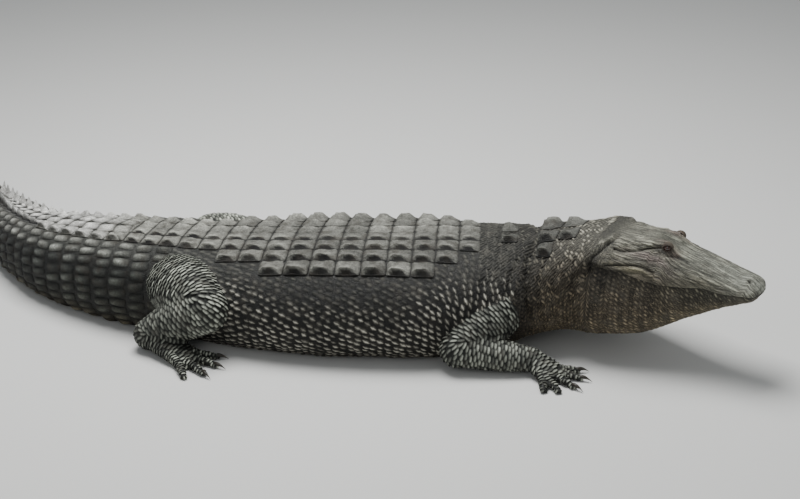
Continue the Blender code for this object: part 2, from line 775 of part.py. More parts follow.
def arc_tube(centre, across, up, radius, start, end, thickness, collection, bulge):
    """A short curved roll of skin round an eye."""
    points = []
    sizes = []
    for k in range(5):
        t = k / 4
        angle = math.radians(start + (end - start) * t)
        swell = math.sin(math.pi * t)
        around = across * (radius * 1.35 * math.cos(angle)) + up * (radius * math.sin(angle))
        points.append(centre + around + bulge * swell)
        sizes.append((thickness * (0.5 + 0.5 * swell), thickness * (0.5 + 0.5 * swell)))
    tube("lid", points, sizes, collection, sides=5, rounding=(), floor=-1)


def finish_head(head, parts, work):
    """Lids, nostrils, ear slits, ear flaps and eyes."""
    forward, left, up = head_axes()
    pieces = bpy.data.collections.new("pieces")
    bpy.context.scene.collection.children.link(pieces)
    for side in (-1, 1):
        outward = left * side
        eye = place(EYE_STATION, EYE_OUT * side, EYE_UP)
        lid_centre = eye + outward * 0.0085
        arc_tube(lid_centre, forward, up, 0.0115, 5, 175, 0.0040, pieces, outward * 0.002)
        arc_tube(lid_centre, forward, up, 0.0105, 185, 355, 0.0034, pieces, outward * 0.002)
    boolean(head, "UNION", pieces)
    for side in (-1, 1):
        outward = left * side
        nostril = place(NOSTRIL_STATION, NOSTRIL_OUT * side, TOP(NOSTRIL_STATION) + 0.007)
        ellipsoid("nostril", nostril, (forward, left, up), (0.009, 0.0055, 0.008), pieces, 7, 4)
        slit = place(EAR_STATION, (EAR_OUT + 0.009) * side, EAR_UP - 0.0105)
        ellipsoid("slit", slit, (forward, outward, up), (0.040, 0.010, 0.0024), pieces, 8, 4)
    boolean(head, "DIFFERENCE", pieces)
    bpy.data.collections.remove(pieces)
    for side_name, side in (("left", 1), ("right", -1)):
        outward = left * side
        eye = place(EYE_STATION, EYE_OUT * side, EYE_UP)
        axes = (forward, left, up)
        ellipsoid("eye_" + side_name, eye, axes, (EYE_RADIUS,) * 3, parts, 12, 6)
        socket = ellipsoid("socket", eye, axes, (EYE_RADIUS + GAP,) * 3, work, 12, 6)
        cut(head, socket)
        bpy.data.objects.remove(socket)
        ear = place(EAR_STATION, EAR_OUT * side, EAR_UP)
        lean = (outward + Vector((0, 0, 0.25))).normalized()
        rise = forward.cross(lean).normalized()
        ear_axes = (forward, lean, rise)
        sizes = (0.042, 0.0065, 0.0095)
        ellipsoid("ear_" + side_name, ear, ear_axes, sizes, parts, 10, 5)
        pocket = ellipsoid("pocket", ear, ear_axes, tuple(v + GAP for v in sizes), work, 10, 5)
        cut(head, pocket)
        bpy.data.objects.remove(pocket)


def node_material(name, hides):
    for key, mat in hides.items():
        if name.startswith(key):
            return mat
    return hides["body"]


def main():
    for obj in list(bpy.data.objects):
        bpy.data.objects.remove(obj)
    parts = bpy.data.collections.new("american_alligator")
    work = bpy.data.collections.new("cutters")
    bpy.context.scene.collection.children.link(parts)
    bpy.context.scene.collection.children.link(work)

    head = upper_head("head", parts)
    finish_head(head, parts, work)
    lower_jaw("lower_jaw", parts)

    plates = all_scutes()
    names = ["neck", "torso_front", "torso_middle", "torso_rear"]
    names += ["tail_%d" % (k + 1) for k in range(len(TAIL_ENDS) + 1)]
    for name, start, end in zip(names, BODY_ENDS, BODY_ENDS[1:]):
        node = body_length(name, start, end, parts)
        add_scutes(node, start, end, plates, work)

    trunk = body_cutter(work)
    for side_name, side in (("left", 1), ("right", -1)):
        build_fore_limb(side_name, side, parts, work, trunk)
        build_hind_limb(side_name, side, parts, work, trunk)
    bpy.data.objects.remove(trunk)

    hides = {
        "eye": material("eye", (0.05, 0.03, 0.01), 0.1),
        "head": material("head_hide", (0.22, 0.21, 0.17), 0.6),
        "lower_jaw": material("jowl_hide", (0.20, 0.17, 0.12), 0.65),
        "tail": material("tail_hide", (0.19, 0.19, 0.17), 0.6),
        "body": material("body_hide", (0.11, 0.11, 0.09), 0.6),
    }
    for obj in parts.objects:
        obj.data.materials.clear()
        obj.data.materials.append(node_material(obj.name, hides))


main()
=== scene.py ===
"""The looks of an American alligator that lies on its belly, life size.

The animal is laid out along a spine that is a curve in plan. A place on it has
three numbers: s, metres along the spine from the snout tip, u, metres to the
animal's left of the spine, and z, metres above the floor. On the hide a place
has two: s, and the girth g, metres down from the top line.
"""

import math
from collections import namedtuple
from contextlib import contextmanager

import bmesh
import bpy
import numpy as np
from bpy.props import FloatProperty, FloatVectorProperty, IntProperty, PointerProperty
from bpy.types import Operator, Panel, PropertyGroup
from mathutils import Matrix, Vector, noise
from mathutils.bvhtree import BVHTree
from mathutils.kdtree import KDTree


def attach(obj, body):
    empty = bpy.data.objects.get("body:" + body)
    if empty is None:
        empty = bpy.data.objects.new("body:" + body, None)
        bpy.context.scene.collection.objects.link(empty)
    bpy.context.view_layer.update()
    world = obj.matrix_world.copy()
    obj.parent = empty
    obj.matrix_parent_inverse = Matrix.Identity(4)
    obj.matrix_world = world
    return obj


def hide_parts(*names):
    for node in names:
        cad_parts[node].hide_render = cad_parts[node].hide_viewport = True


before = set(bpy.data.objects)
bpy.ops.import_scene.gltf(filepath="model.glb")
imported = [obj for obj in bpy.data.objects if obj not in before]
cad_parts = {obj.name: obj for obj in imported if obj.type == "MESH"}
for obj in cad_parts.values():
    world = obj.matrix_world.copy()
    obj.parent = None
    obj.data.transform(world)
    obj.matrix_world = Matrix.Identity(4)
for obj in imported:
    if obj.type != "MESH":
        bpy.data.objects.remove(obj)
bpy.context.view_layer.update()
FLESH = [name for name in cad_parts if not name.startswith("eye")]

bl_info = {
    "name": "Resting Alligator",
    "version": (1, 0, 0),
    "blender": (4, 5, 0),
    "location": "View3D > Sidebar > Alligator",
    "description": "Hide, plates, scales, eyes and claws for the alligator",
    "category": "Object",
}

# Lengths along the spine
TOTAL_LENGTH = 3.45
HEAD_END = 0.43
NECK_BLEND = 0.13
VENT = 1.75
ORIGIN_STATION = 1.17

# Places on the head
EYE = (0.252, 0.0430, 0.3480)
EAR_STATION = 0.338
NOSTRIL = (0.030, 0.016)

# Points of a half section of the hide: down to the lip, inside the mouth line, and under
UPPER = 62
SLIT = 3
LOWER = 30
FLAT_SHARE = 0.3

# Points along the spine, down a section before its points are evened, and down a side of the hide
SPINE_POINTS = 1381
SECTION_POINTS = 320
GIRTH_POINTS = 141

# Plates of the back and the tail
SHIELD_START = 0.80
SHIELD_ROWS = 17
WHORLS = 37
WHORL_START = 1.81
RIDGE_END = 2.15
SINGLE_CREST = 2.62

SIDES = ((-1, "right"), (1, "left"))

# Lowest that a scale goes, and half the side of its patch of the unwrap
FLOOR_GAP = 0.0005
UV_HALF = 0.0015


class Profile:
    """A smooth curve through a few (station, value) points that never overshoots."""

    def __init__(self, *points):
        self.x = np.array([p[0] for p in points], float)
        self.y = np.array([p[1] for p in points], float)
        step = np.diff(self.x)
        rise = np.diff(self.y) / step
        slope = np.zeros(len(self.x))
        slope[0] = rise[0]
        slope[-1] = rise[-1]
        for i in range(1, len(self.x) - 1):
            if rise[i - 1] * rise[i] > 0:
                before = 2 * step[i] + step[i - 1]
                after = step[i] + 2 * step[i - 1]
                slope[i] = (before + after) / (before / rise[i - 1] + after / rise[i])
        self.slope = slope

    def __call__(self, x):
        x = np.clip(x, self.x[0], self.x[-1])
        i = np.clip(np.searchsorted(self.x, x) - 1, 0, len(self.x) - 2)
        h = self.x[i + 1] - self.x[i]
        t = (x - self.x[i]) / h
        ends = (1 + 2 * t) * (1 - t) ** 2 * self.y[i] + t * t * (3 - 2 * t) * self.y[i + 1]
        return ends + t * (1 - t) * h * ((1 - t) * self.slope[i] - t * self.slope[i + 1])


HEADING = Profile(
    (0.00, 31), (0.42, 31), (0.52, 24), (0.62, 13), (0.72, 6), (0.85, 3.5), (1.00, 4),
    (1.20, 6.5), (1.45, 10.5), (1.65, 14), (1.82, 20), (1.98, 30), (2.12, 42), (2.30, 54),
    (2.50, 61), (2.80, 60), (3.05, 46), (3.25, 28), (3.45, 10),
)
TOP = Profile(
    (0.00, 0.271), (0.005, 0.278), (0.035, 0.286), (0.085, 0.300), (0.135, 0.316), (0.19, 0.333),
    (0.25, 0.350), (0.30, 0.360), (0.42, 0.360), (0.49, 0.344), (0.56, 0.322), (0.64, 0.304),
    (0.76, 0.292), (0.90, 0.291), (1.17, 0.281), (1.40, 0.266), (1.60, 0.255), (1.75, 0.250),
    (2.00, 0.228), (2.20, 0.198), (2.50, 0.154), (2.80, 0.114), (3.10, 0.074), (3.30, 0.046),
    (3.45, 0.018),
)
BOTTOM = Profile(
    (0.00, 0.254), (0.008, 0.242), (0.04, 0.227), (0.09, 0.203), (0.14, 0.174), (0.20, 0.140),
    (0.25, 0.108), (0.31, 0.078), (0.42, 0.056), (0.54, 0.040), (0.62, 0.024), (0.70, 0.000),
    (0.78, -0.024), (0.90, -0.036), (1.60, -0.036), (1.80, -0.030), (2.20, -0.018), (2.80, -0.008),
    (3.45, -0.003),
)
HALF_WIDTH = Profile(
    (0.43, 0.150), (0.50, 0.168), (0.58, 0.184), (0.66, 0.200), (0.75, 0.230), (0.86, 0.260),
    (1.00, 0.280), (1.20, 0.285), (1.40, 0.270), (1.56, 0.238), (1.70, 0.203), (1.80, 0.182),
    (1.95, 0.156), (2.10, 0.133), (2.30, 0.106), (2.50, 0.083), (2.80, 0.055), (3.10, 0.034),
    (3.30, 0.020), (3.45, 0.006),
)
WIDEST = Profile(
    (0.43, 0.215), (0.56, 0.180), (0.70, 0.145), (0.90, 0.125), (1.60, 0.115), (1.80, 0.108),
    (2.20, 0.080), (2.80, 0.042), (3.20, 0.024), (3.45, 0.009),
)
UPPER_POWER = Profile((0.43, 2.2), (0.9, 2.1), (1.6, 2.2), (1.9, 2.5), (2.4, 2.3), (2.8, 1.8), (3.45, 2.0))
LOWER_POWER = Profile((0.43, 2.2), (0.8, 2.4), (1.8, 2.6), (3.45, 2.6))
LIP_WIDTH = Profile(
    (0.000, 0.026), (0.006, 0.048), (0.020, 0.065), (0.045, 0.075), (0.08, 0.080), (0.12, 0.080),
    (0.16, 0.087), (0.21, 0.096), (0.27, 0.112), (0.33, 0.127), (0.39, 0.138), (0.43, 0.143),
)
LIP_HEIGHT = Profile(
    (0.00, 0.262), (0.04, 0.268), (0.09, 0.266), (0.14, 0.270), (0.19, 0.264), (0.24, 0.262),
    (0.30, 0.274), (0.36, 0.288), (0.43, 0.292),
)
TABLE_WIDTH = Profile(
    (0.00, 0.012), (0.03, 0.026), (0.12, 0.030), (0.20, 0.032), (0.26, 0.046), (0.31, 0.060),
    (0.43, 0.066),
)
JOWL = Profile((0.10, 0.0), (0.20, 0.006), (0.30, 0.022), (0.38, 0.036), (0.43, 0.040))
CHEEK_POWER = Profile((0.0, 0.75), (0.15, 0.80), (0.22, 1.10), (0.27, 1.50), (0.33, 1.35), (0.43, 1.10))
LIP_OVERLAP = Profile((0.00, 0.004), (0.30, 0.005), (0.36, 0.004), (0.41, 0.0), (0.43, 0.0))
MOUTH_DEPTH = Profile((0.00, 0.002), (0.02, 0.005), (0.36, 0.007), (0.395, 0.005), (0.42, 0.0))


def smooth(t):
    t = np.clip(t, 0.0, 1.0)
    return t * t * (3 - 2 * t)


def hump(x, centre, reach):
    """A smooth hill of height 1 about a centre."""
    return np.exp(-(((x - centre) / reach) ** 2))


def unit(vectors):
    """Vectors at length 1, along the last axis."""
    return vectors / np.maximum(np.linalg.norm(vectors, axis=-1, keepdims=True), 1e-9)


def running(steps):
    """Running sums along the last axis, from zero."""
    return np.cumsum(np.insert(steps, 0, 0.0, axis=-1), axis=-1)


def spine_table():
    """Plan position and heading of the spine at closely spaced stations."""
    stations = np.linspace(0.0, TOTAL_LENGTH, SPINE_POINTS)
    turn = np.radians(HEADING(stations))
    step = stations[1] - stations[0]
    dx = -np.cos(turn)
    dy = np.sin(turn)
    x = running((dx[1:] + dx[:-1]) / 2 * step)
    y = running((dy[1:] + dy[:-1]) / 2 * step)
    x -= np.interp(ORIGIN_STATION, stations, x)
    y -= np.interp(ORIGIN_STATION, stations, y)
    return stations, x, y, turn


SPINE_S, SPINE_X, SPINE_Y, SPINE_TURN = spine_table()


def place(s, u, z):
    """World positions of places on the animal."""
    turn = np.interp(s, SPINE_S, SPINE_TURN)
    x = np.interp(s, SPINE_S, SPINE_X) + u * np.sin(turn)
    y = np.interp(s, SPINE_S, SPINE_Y) + u * np.cos(turn)
    return np.stack(np.broadcast_arrays(x, y, z), axis=-1)


def directions(s):
    """Forward and left unit vectors at a station."""
    turn = float(np.interp(s, SPINE_S, SPINE_TURN))
    return Vector((math.cos(turn), -math.sin(turn), 0)), Vector((math.sin(turn), math.cos(turn), 0))


def head_upper(s, a):
    """Section of the skull and upper jaw, from the top line at a = 0 to the lip at a = 1."""
    top = TOP(s)
    lip = LIP_HEIGHT(s)
    table = TABLE_WIDTH(s)
    power = CHEEK_POWER(s)
    flat = np.minimum(a / FLAT_SHARE, 1.0)
    t = math.pi / 2 * np.clip((a - FLAT_SHARE) / (1 - FLAT_SHARE), 0.0, 1.0)
    u = table * flat + (LIP_WIDTH(s) - table) * np.sin(t) ** power
    z = top - 0.003 * flat**2 - (top - 0.003 - lip) * (1 - np.maximum(np.cos(t), 0.0) ** power)
    length = np.where(s < EYE[0], 0.020, 0.030)
    rise = 0.015 * hump((s - EYE[0]) / length, 0, 1) * hump(u, EYE[1] - 0.004, 0.016)
    rise -= 0.005 * hump(s, EYE[0], 0.034) * hump(u, 0.0, 0.020)
    rise -= 0.005 * hump(s, 0.195, 0.030) * hump(u, 0.0, 0.040)
    rise += 0.009 * hump(s, NOSTRIL[0] + 0.002, 0.018) * hump(u, 0.0, 0.030)
    hollow = 0.022 * hump(s, EAR_STATION, 0.050) * hump(z, top - 0.018, 0.016)
    cheek = 0.008 * hump(s, 0.400, 0.035) * hump(z, lip + 0.012, 0.018)
    near_lip = np.minimum((1 - a) / 0.08, 1.0)
    return u + (cheek - hollow) * np.minimum(u / 0.05, 1.0) * near_lip, z + rise * near_lip


def head_lower(s, b):
    """Section of the lower jaw, from under the lip at b = 0 to the throat line."""
    lip = LIP_HEIGHT(s) - 0.0028
    t = math.pi / 2 * b
    out = (LIP_WIDTH(s) - LIP_OVERLAP(s)) * np.maximum(np.cos(t), 0.0) ** 0.75
    return out + JOWL(s) * np.sin(2 * t), lip - (lip - BOTTOM(s)) * np.sin(t) ** 0.85


def body_upper(s, a):
    """Section of neck, trunk and tail, from the top line at a = 0 to the widest place at a = 1."""
    power = 2 / UPPER_POWER(s)
    t = math.pi / 2 * a
    rise = np.maximum(np.cos(t), 0.0) ** power
    return HALF_WIDTH(s) * np.sin(t) ** power, WIDEST(s) + (TOP(s) - WIDEST(s)) * rise


def body_lower(s, b):
    """Section of neck, trunk and tail, from the widest place at b = 0 to the line underneath."""
    power = 2 / LOWER_POWER(s)
    t = math.pi / 2 * b
    out = HALF_WIDTH(s) * np.maximum(np.cos(t), 0.0) ** power
    return out, np.maximum(WIDEST(s) - (WIDEST(s) - BOTTOM(s)) * np.sin(t) ** power, 0.0)


def even(curve, s, count):
    """Points at even distances along a section, for each station, both ends included."""
    u, z = curve(s[:, None], np.linspace(0.0, 1.0, SECTION_POINTS)[None, :])
    run = running(np.hypot(np.diff(u), np.diff(z)))
    wanted = np.linspace(0.0, 1.0, count)
    rows_u = [np.interp(wanted * r[-1], r, row) for r, row in zip(run, u)]
    rows_z = [np.interp(wanted * r[-1], r, row) for r, row in zip(run, z)]
    return np.array(rows_u), np.array(rows_z)


def half_sections(s):
    """Distance out and height of every point of half a section, at each station."""
    head_u, head_z = even(head_upper, s, UPPER + 1)
    jaw_u, jaw_z = even(head_lower, s, LOWER + 1)
    lip_u = LIP_WIDTH(s)[:, None]
    lip_z = LIP_HEIGHT(s)[:, None]
    inner = lip_u - LIP_OVERLAP(s)[:, None]
    slit_u = np.concatenate([lip_u - 0.0015, inner - MOUTH_DEPTH(s)[:, None], inner - 0.001], axis=1)
    slit_z = np.concatenate([lip_z - 0.0010, lip_z - 0.0014, lip_z - 0.0020], axis=1)
    u = np.concatenate([head_u, slit_u, jaw_u], axis=1)
    z = np.concatenate([head_z, slit_z, jaw_z], axis=1)
    back_u, back_z = even(body_upper, s, UPPER + 1)
    belly_u, belly_z = even(body_lower, s, SLIT + LOWER + 2)
    body_u = np.concatenate([back_u, belly_u[:, 1:]], axis=1)
    body_z = np.concatenate([back_z, belly_z[:, 1:]], axis=1)
    share = smooth((s - HEAD_END) / NECK_BLEND)[:, None]
    return u + (body_u - u) * share, z + (body_z - z) * share


# Folds of the skin on each side of the head and neck: points (station, height), depth and reach
SIDE_FOLDS = (
    (
        ((0.264, 0.349), (0.293, 0.345), (0.322, 0.337), (0.342, 0.334), (0.36, 0.3335), (0.38, 0.337)),
        -0.007, 0.0022,
    ),
    (((0.38, 0.337), (0.389, 0.344), (0.391, 0.352)), -0.004, 0.0022),
    (((0.292, 0.353), (0.322, 0.349), (0.35, 0.3455), (0.374, 0.346)), 0.0034, 0.005),
    (((0.272, 0.354), (0.312, 0.359), (0.346, 0.358), (0.377, 0.357)), 0.0018, 0.002),
    (((0.29, 0.337), (0.322, 0.33), (0.352, 0.3265), (0.388, 0.327)), 0.0026, 0.0035),
    (((0.385, 0.357), (0.398, 0.346)), -0.0024, 0.003),
    (((0.398, 0.346), (0.404, 0.339), (0.414, 0.327), (0.427, 0.311), (0.431, 0.288)), -0.0056, 0.0032),
    (((0.431, 0.288), (0.42, 0.27), (0.4, 0.256), (0.386, 0.24)), -0.005, 0.0045),
    (((0.4, 0.356), (0.42, 0.344), (0.434, 0.328), (0.443, 0.306)), 0.0034, 0.0045),
    (((0.268, 0.338), (0.248, 0.3325), (0.229, 0.333), (0.204, 0.329), (0.186, 0.324)), -0.0034, 0.0022),
    (((0.262, 0.33), (0.236, 0.3265), (0.206, 0.322)), 0.002, 0.0022),
    (((0.224, 0.346), (0.206, 0.336), (0.18, 0.326), (0.15, 0.315)), -0.002, 0.002),
    (((0.24, 0.32), (0.285, 0.319), (0.33, 0.318), (0.38, 0.316)), -0.002, 0.0022),
    (((0.266, 0.291), (0.292, 0.303), (0.316, 0.3065), (0.346, 0.3045), (0.386, 0.301)), -0.0046, 0.0024),
    (((0.272, 0.285), (0.308, 0.2975), (0.345, 0.2955), (0.384, 0.289)), 0.0032, 0.0034),
    (((0.3, 0.288), (0.34, 0.287), (0.374, 0.282)), -0.0022, 0.0024),
    (((0.372, 0.27), (0.366, 0.245), (0.348, 0.22)), -0.0034, 0.004),
    (((0.352, 0.26), (0.34, 0.238), (0.318, 0.222)), -0.0026, 0.0036),
    (((0.428, 0.29), (0.44, 0.26), (0.438, 0.22), (0.42, 0.17)), -0.005, 0.009),
    (((0.215, 0.24), (0.26, 0.22), (0.31, 0.21), (0.35, 0.215)), -0.0022, 0.004),
    (((0.23, 0.19), (0.28, 0.165), (0.33, 0.155), (0.38, 0.16)), -0.0028, 0.006),
    (((0.12, 0.29), (0.16, 0.296), (0.21, 0.308), (0.236, 0.32)), -0.0018, 0.0024),
    (((0.1, 0.283), (0.15, 0.287), (0.205, 0.295), (0.245, 0.308)), -0.0016, 0.0022),
    (((0.06, 0.278), (0.1, 0.277), (0.15, 0.28), (0.21, 0.285)), -0.0012, 0.002),
    (((0.07, 0.29), (0.11, 0.3), (0.16, 0.312), (0.215, 0.328)), -0.0016, 0.0022),
    (((0.13, 0.308), (0.17, 0.318), (0.22, 0.334)), -0.0012, 0.002),
    (((0.476, 0.32), (0.49, 0.27), (0.488, 0.2), (0.466, 0.12)), -0.005, 0.011),
    (((0.53, 0.3), (0.548, 0.24), (0.546, 0.17), (0.524, 0.1)), -0.0045, 0.012),
    (((0.588, 0.29), (0.606, 0.23), (0.6, 0.15), (0.582, 0.08)), -0.0055, 0.012),
    (((0.64, 0.295), (0.658, 0.272), (0.657, 0.245), (0.648, 0.205), (0.634, 0.12)), -0.015, 0.011),
    (((0.69, 0.27), (0.706, 0.23), (0.712, 0.18)), -0.006, 0.01),
    (((0.785, 0.23), (0.806, 0.19), (0.816, 0.14), (0.812, 0.09)), -0.005, 0.011),
)


def stroke_distance(s, z, points):
    """Distance of places on a side from a line through a few points."""
    best = np.full(s.shape, 9.0)
    for (s0, z0), (s1, z1) in zip(points, points[1:]):
        ds = s1 - s0
        dz = z1 - z0
        t = np.clip(((s - s0) * ds + (z - z0) * dz) / (ds * ds + dz * dz), 0.0, 1.0)
        best = np.minimum(best, np.hypot(s - s0 - t * ds, z - z0 - t * dz))
    return best


def bend_line(points):
    """A rounder line through the same few points."""
    points = np.array(points, float)
    t = np.arange(len(points))
    fine = np.linspace(0, len(points) - 1, 6 * (len(points) - 1) + 1)
    return np.stack([Profile(*zip(t, points[:, k]))(fine) for k in (0, 1)], axis=1)


def lumps(points, size, depth=2):
    """Smooth seeded noise at places of the hide, about -1 to 1."""
    return np.array([noise.fractal(Vector(p) / size, 1.0, 2.0, depth) for p in points.reshape(-1, 3)])


def hide_relief(s, u, z, points):
    """How far the hide stands out from its plain section, and how deep in a fold each point is, which paints
    shade into creases and a highlight onto ridges.
    """
    side = smooth((np.abs(u) - 0.040) / 0.012)
    stand = np.full(s.shape, -0.0015)
    fold_shading = np.zeros(s.shape)
    for line, depth, reach in SIDE_FOLDS:
        bent = bend_line(line)
        rows = (s[:, 0] > bent[:, 0].min() - 4 * reach) & (s[:, 0] < bent[:, 0].max() + 4 * reach)
        distance = stroke_distance(s[rows], z[rows], bent)
        stand[rows] += depth * np.exp(-((distance / reach) ** 2)) * side[rows]
        # Creases get painted shade and raised folds a painted highlight in the colour
        strength = min(abs(depth) / 0.004, 1.0) * math.copysign(1.0, -depth)
        fold_shading[rows] += strength * np.exp(-((distance / (reach * 0.75)) ** 2)) * side[rows]
    ring = np.hypot((s - NOSTRIL[0]) / 1.3, np.abs(u) - NOSTRIL[1])
    above = smooth((z - 0.272) / 0.006)
    stand += above * (0.0022 * hump(ring, 0.0080, 0.0030) - 0.0060 * hump(ring, 0.0, 0.0045))
    # Painted shade in the nostril's pit
    fold_shading += above * hump(ring, 0.0, 0.0040)
    head = smooth((0.45 - s) / 0.05)
    front = smooth((0.80 - s) / 0.10)
    rough = lumps(points, 0.030).reshape(s.shape)
    broad = lumps(points, 0.11, 1).reshape(s.shape)
    stand += rough * (0.0010 + 0.0010 * front * (1 - head)) + broad * 0.0030 * (1 - head)
    sculpt = lumps(points, 0.009, 1).reshape(s.shape)
    return stand + sculpt * 0.0008 * head, np.clip(fold_shading, -1.0, 1.0)


def outward_normals(points):
    """Unit normals of a grid of rings, out of the body."""
    along = np.gradient(points, axis=0)
    around = np.roll(points, -1, axis=1) - np.roll(points, 1, axis=1)
    normal = np.cross(around, along)
    centre = points.mean(axis=1, keepdims=True)
    inward = ((points - centre) * normal).sum(axis=(1, 2), keepdims=True) < 0
    return unit(np.where(inward, -normal, normal))


def hide_stations():
    """Stations of the hide's rings, closest at the snout tip and the eyes."""
    snout = [0.0, 0.0012, 0.003, 0.0055, 0.0085, 0.012, 0.016]
    head = list(np.arange(0.020, 0.222, 0.0036))
    eyes = list(np.arange(0.2225, 0.300, 0.0022))
    skull = list(np.arange(0.302, HEAD_END, 0.0034))
    neck = list(np.arange(HEAD_END + 0.002, 0.74, 0.009))
    trunk = list(np.arange(0.752, TOTAL_LENGTH - 0.002, 0.0185))
    return np.array(snout + head + eyes + skull + neck + trunk + [TOTAL_LENGTH])


class Trunk:
    """Rings of the hide of head, neck, trunk and tail, and the surface that they span."""

    def __init__(self):
        self.s = hide_stations()
        half_u, half_z = half_sections(self.s)
        self.u = np.concatenate([-half_u, half_u[:, -2:0:-1]], axis=1)
        self.z = np.concatenate([half_z, half_z[:, -2:0:-1]], axis=1)
        s = np.broadcast_to(self.s[:, None], self.u.shape)
        plain = place(s, self.u, self.z)
        relief, self.fold_shading = hide_relief(s, self.u, self.z, plain)
        columns = self.u.shape[1]
        inside = 1 - smooth((self.s - 0.40) / 0.03)[:, None]
        for first in (UPPER + 1, columns - UPPER - SLIT):
            relief[:, first : first + SLIT] *= smooth((self.s - HEAD_END) / 0.03)[:, None]
            # Painted shade fills the mouth line ahead of its corner
            dark = self.fold_shading[:, first : first + SLIT]
            self.fold_shading[:, first : first + SLIT] = dark + (1 - dark) * inside
        # A painted highlight along the upper lip's edge and painted shade just under it on the lower jaw
        for step, shade in ((-1, -0.25), (0, -0.45), (4, 0.85), (5, 0.55), (6, 0.30)):
            for column in (UPPER + step, columns - UPPER - step):
                self.fold_shading[:, column] += (shade - self.fold_shading[:, column]) * inside[:, 0]
        self.points = plain + outward_normals(plain) * relief[..., None]
        self.points[..., 2] = np.maximum(self.points[..., 2], 0.0)
        self.half = half_u.shape[1]
        right = np.arange(self.half)
        self.sides = {-1: self.resampled(right), 1: self.resampled(-right % columns)}

    def resampled(self, side_columns):
        """One side as a grid with even steps of girth, its normals, and the girth of each row."""
        half = self.points[:, side_columns]
        run = running(np.linalg.norm(np.diff(half, axis=1), axis=2))
        steps = np.linspace(0.0, 1.0, GIRTH_POINTS)
        rows = [
            np.stack([np.interp(steps * r[-1], r, row[:, k]) for k in range(3)], axis=1)
            for r, row in zip(run, half)
        ]
        points = np.array(rows)
        along = np.gradient(points, axis=0)
        across = np.gradient(points, axis=1)
        normal = np.cross(along, across)
        outward = (normal[:, 30, 2] > 0)[:, None, None]
        normal = unit(np.where(outward, normal, -normal))
        for _ in range(3):
            normal[:, 1:-1] = (normal[:, :-2] + 2 * normal[:, 1:-1] + normal[:, 2:]) / 4
        return points, normal, run[:, -1]

    def girth(self, s):
        """Half girth of the animal at a station."""
        return np.interp(s, self.s, self.sides[-1][2])

    def at(self, s, g, side):
        """Points and normals of one side at stations and girths; past the top line is the other side."""
        over = g < 0
        first = self.read(s, np.abs(g), side)
        if over.any():
            second = self.read(s, np.abs(g), -side)
            first = [np.where(over[..., None], b, a) for a, b in zip(first, second)]
        return first

    def read(self, s, g, side):
        points, normals, girth = self.sides[side]
        row = np.interp(s, self.s, np.arange(len(self.s)))
        share = np.clip(g / np.interp(s, self.s, girth), 0.0, 1.0)
        return [bilinear(grid, row, share * (points.shape[1] - 1)) for grid in (points, normals)]


def bilinear(grid, row, column):
    """Values of a grid of vectors between its points."""
    i = np.clip(row.astype(int), 0, grid.shape[0] - 2)
    j = np.clip(column.astype(int), 0, grid.shape[1] - 2)
    a = (row - i)[..., None]
    b = (column - j)[..., None]
    near = grid[i, j] * (1 - b) + grid[i, j + 1] * b
    far = grid[i + 1, j] * (1 - b) + grid[i + 1, j + 1] * b
    return near * (1 - a) + far * a


TRUNK = Trunk()

# Limb joints in metres ahead of, outside and above a body station, and their thickness
FORE = {
    "station": 0.72,
    "joints": ((-0.020, 0.165, 0.135), (-0.125, 0.268, 0.062), (0.080, 0.258, 0.036), (0.140, 0.302, 0.016)),
    "sizes": (
        ((0.072, 0.078), (0.062, 0.066), (0.048, 0.052)),
        ((0.043, 0.046), (0.044, 0.042), (0.032, 0.030)),
        ((0.030, 0.028), (0.042, 0.022), (0.050, 0.015)),
    ),
    "toes": ((-48, 0.060), (-22, 0.078), (2, 0.085), (26, 0.078), (50, 0.060)),
    "toe_height": 0.0105,
    "pale_thigh": 0.0,
    "dark_shank": 0.0,
    "webbed": False,
}
HIND = {
    "station": 1.62,
    "joints": ((0.000, 0.150, 0.152), (0.115, 0.250, 0.140), (-0.055, 0.262, 0.045), (0.075, 0.315, 0.016)),
    "left_second": (0.110, 0.236, 0.106),
    "sizes": (
        ((0.094, 0.088), (0.088, 0.092), (0.064, 0.070)),
        ((0.060, 0.068), (0.056, 0.060), (0.040, 0.043)),
        ((0.034, 0.036), (0.040, 0.026), (0.050, 0.016)),
    ),
    "toes": ((-30, 0.085), (-9, 0.105), (12, 0.110), (34, 0.092)),
    "toe_height": 0.0115,
    "pale_thigh": 0.60,
    "dark_shank": 0.30,
    "webbed": True,
}
LIMBS = [
    (limb, side, kind + side_name)
    for limb, kind in ((FORE, "fore_"), (HIND, "hind_"))
    for side, side_name in SIDES
]
CLAWED = 3
TOE_SPREAD = 0.040
TOE_HALF_WIDTH = 0.0125
WEB_TOP = 0.0085
VOXEL = 0.0048
PATH_STEP = 0.004


def limb_joints(limb, side):
    """World points of a limb's joints on one side."""
    station = limb["station"]
    forward, left = directions(station)
    offsets = list(limb["joints"])
    if side > 0 and "left_second" in limb:
        offsets[1] = limb["left_second"]
    joints = []
    for ahead, out, up in offsets:
        joints.append(Vector(place(station, 0.0, up)) + forward * ahead + left * (out * side))
    return joints


def sizes_along(sizes, count):
    """Half width and half height that pass smoothly through three sizes."""
    t = np.linspace(0.0, 1.0, count)[:, None]
    three = np.array(sizes, float)
    return (1 - t) * (1 - 2 * t) * three[0] + 4 * t * (1 - t) * three[1] + t * (2 * t - 1) * three[2]


def smooth_piece(obj):
    obj.data.shade_smooth()
    return obj


def activate(obj):
    bpy.ops.object.select_all(action="DESELECT")
    obj.select_set(True)
    bpy.context.view_layer.objects.active = obj


def joined(pieces):
    """One object from several."""
    activate(pieces[0])
    for piece in pieces:
        piece.select_set(True)
    bpy.ops.object.join()
    return bpy.context.object


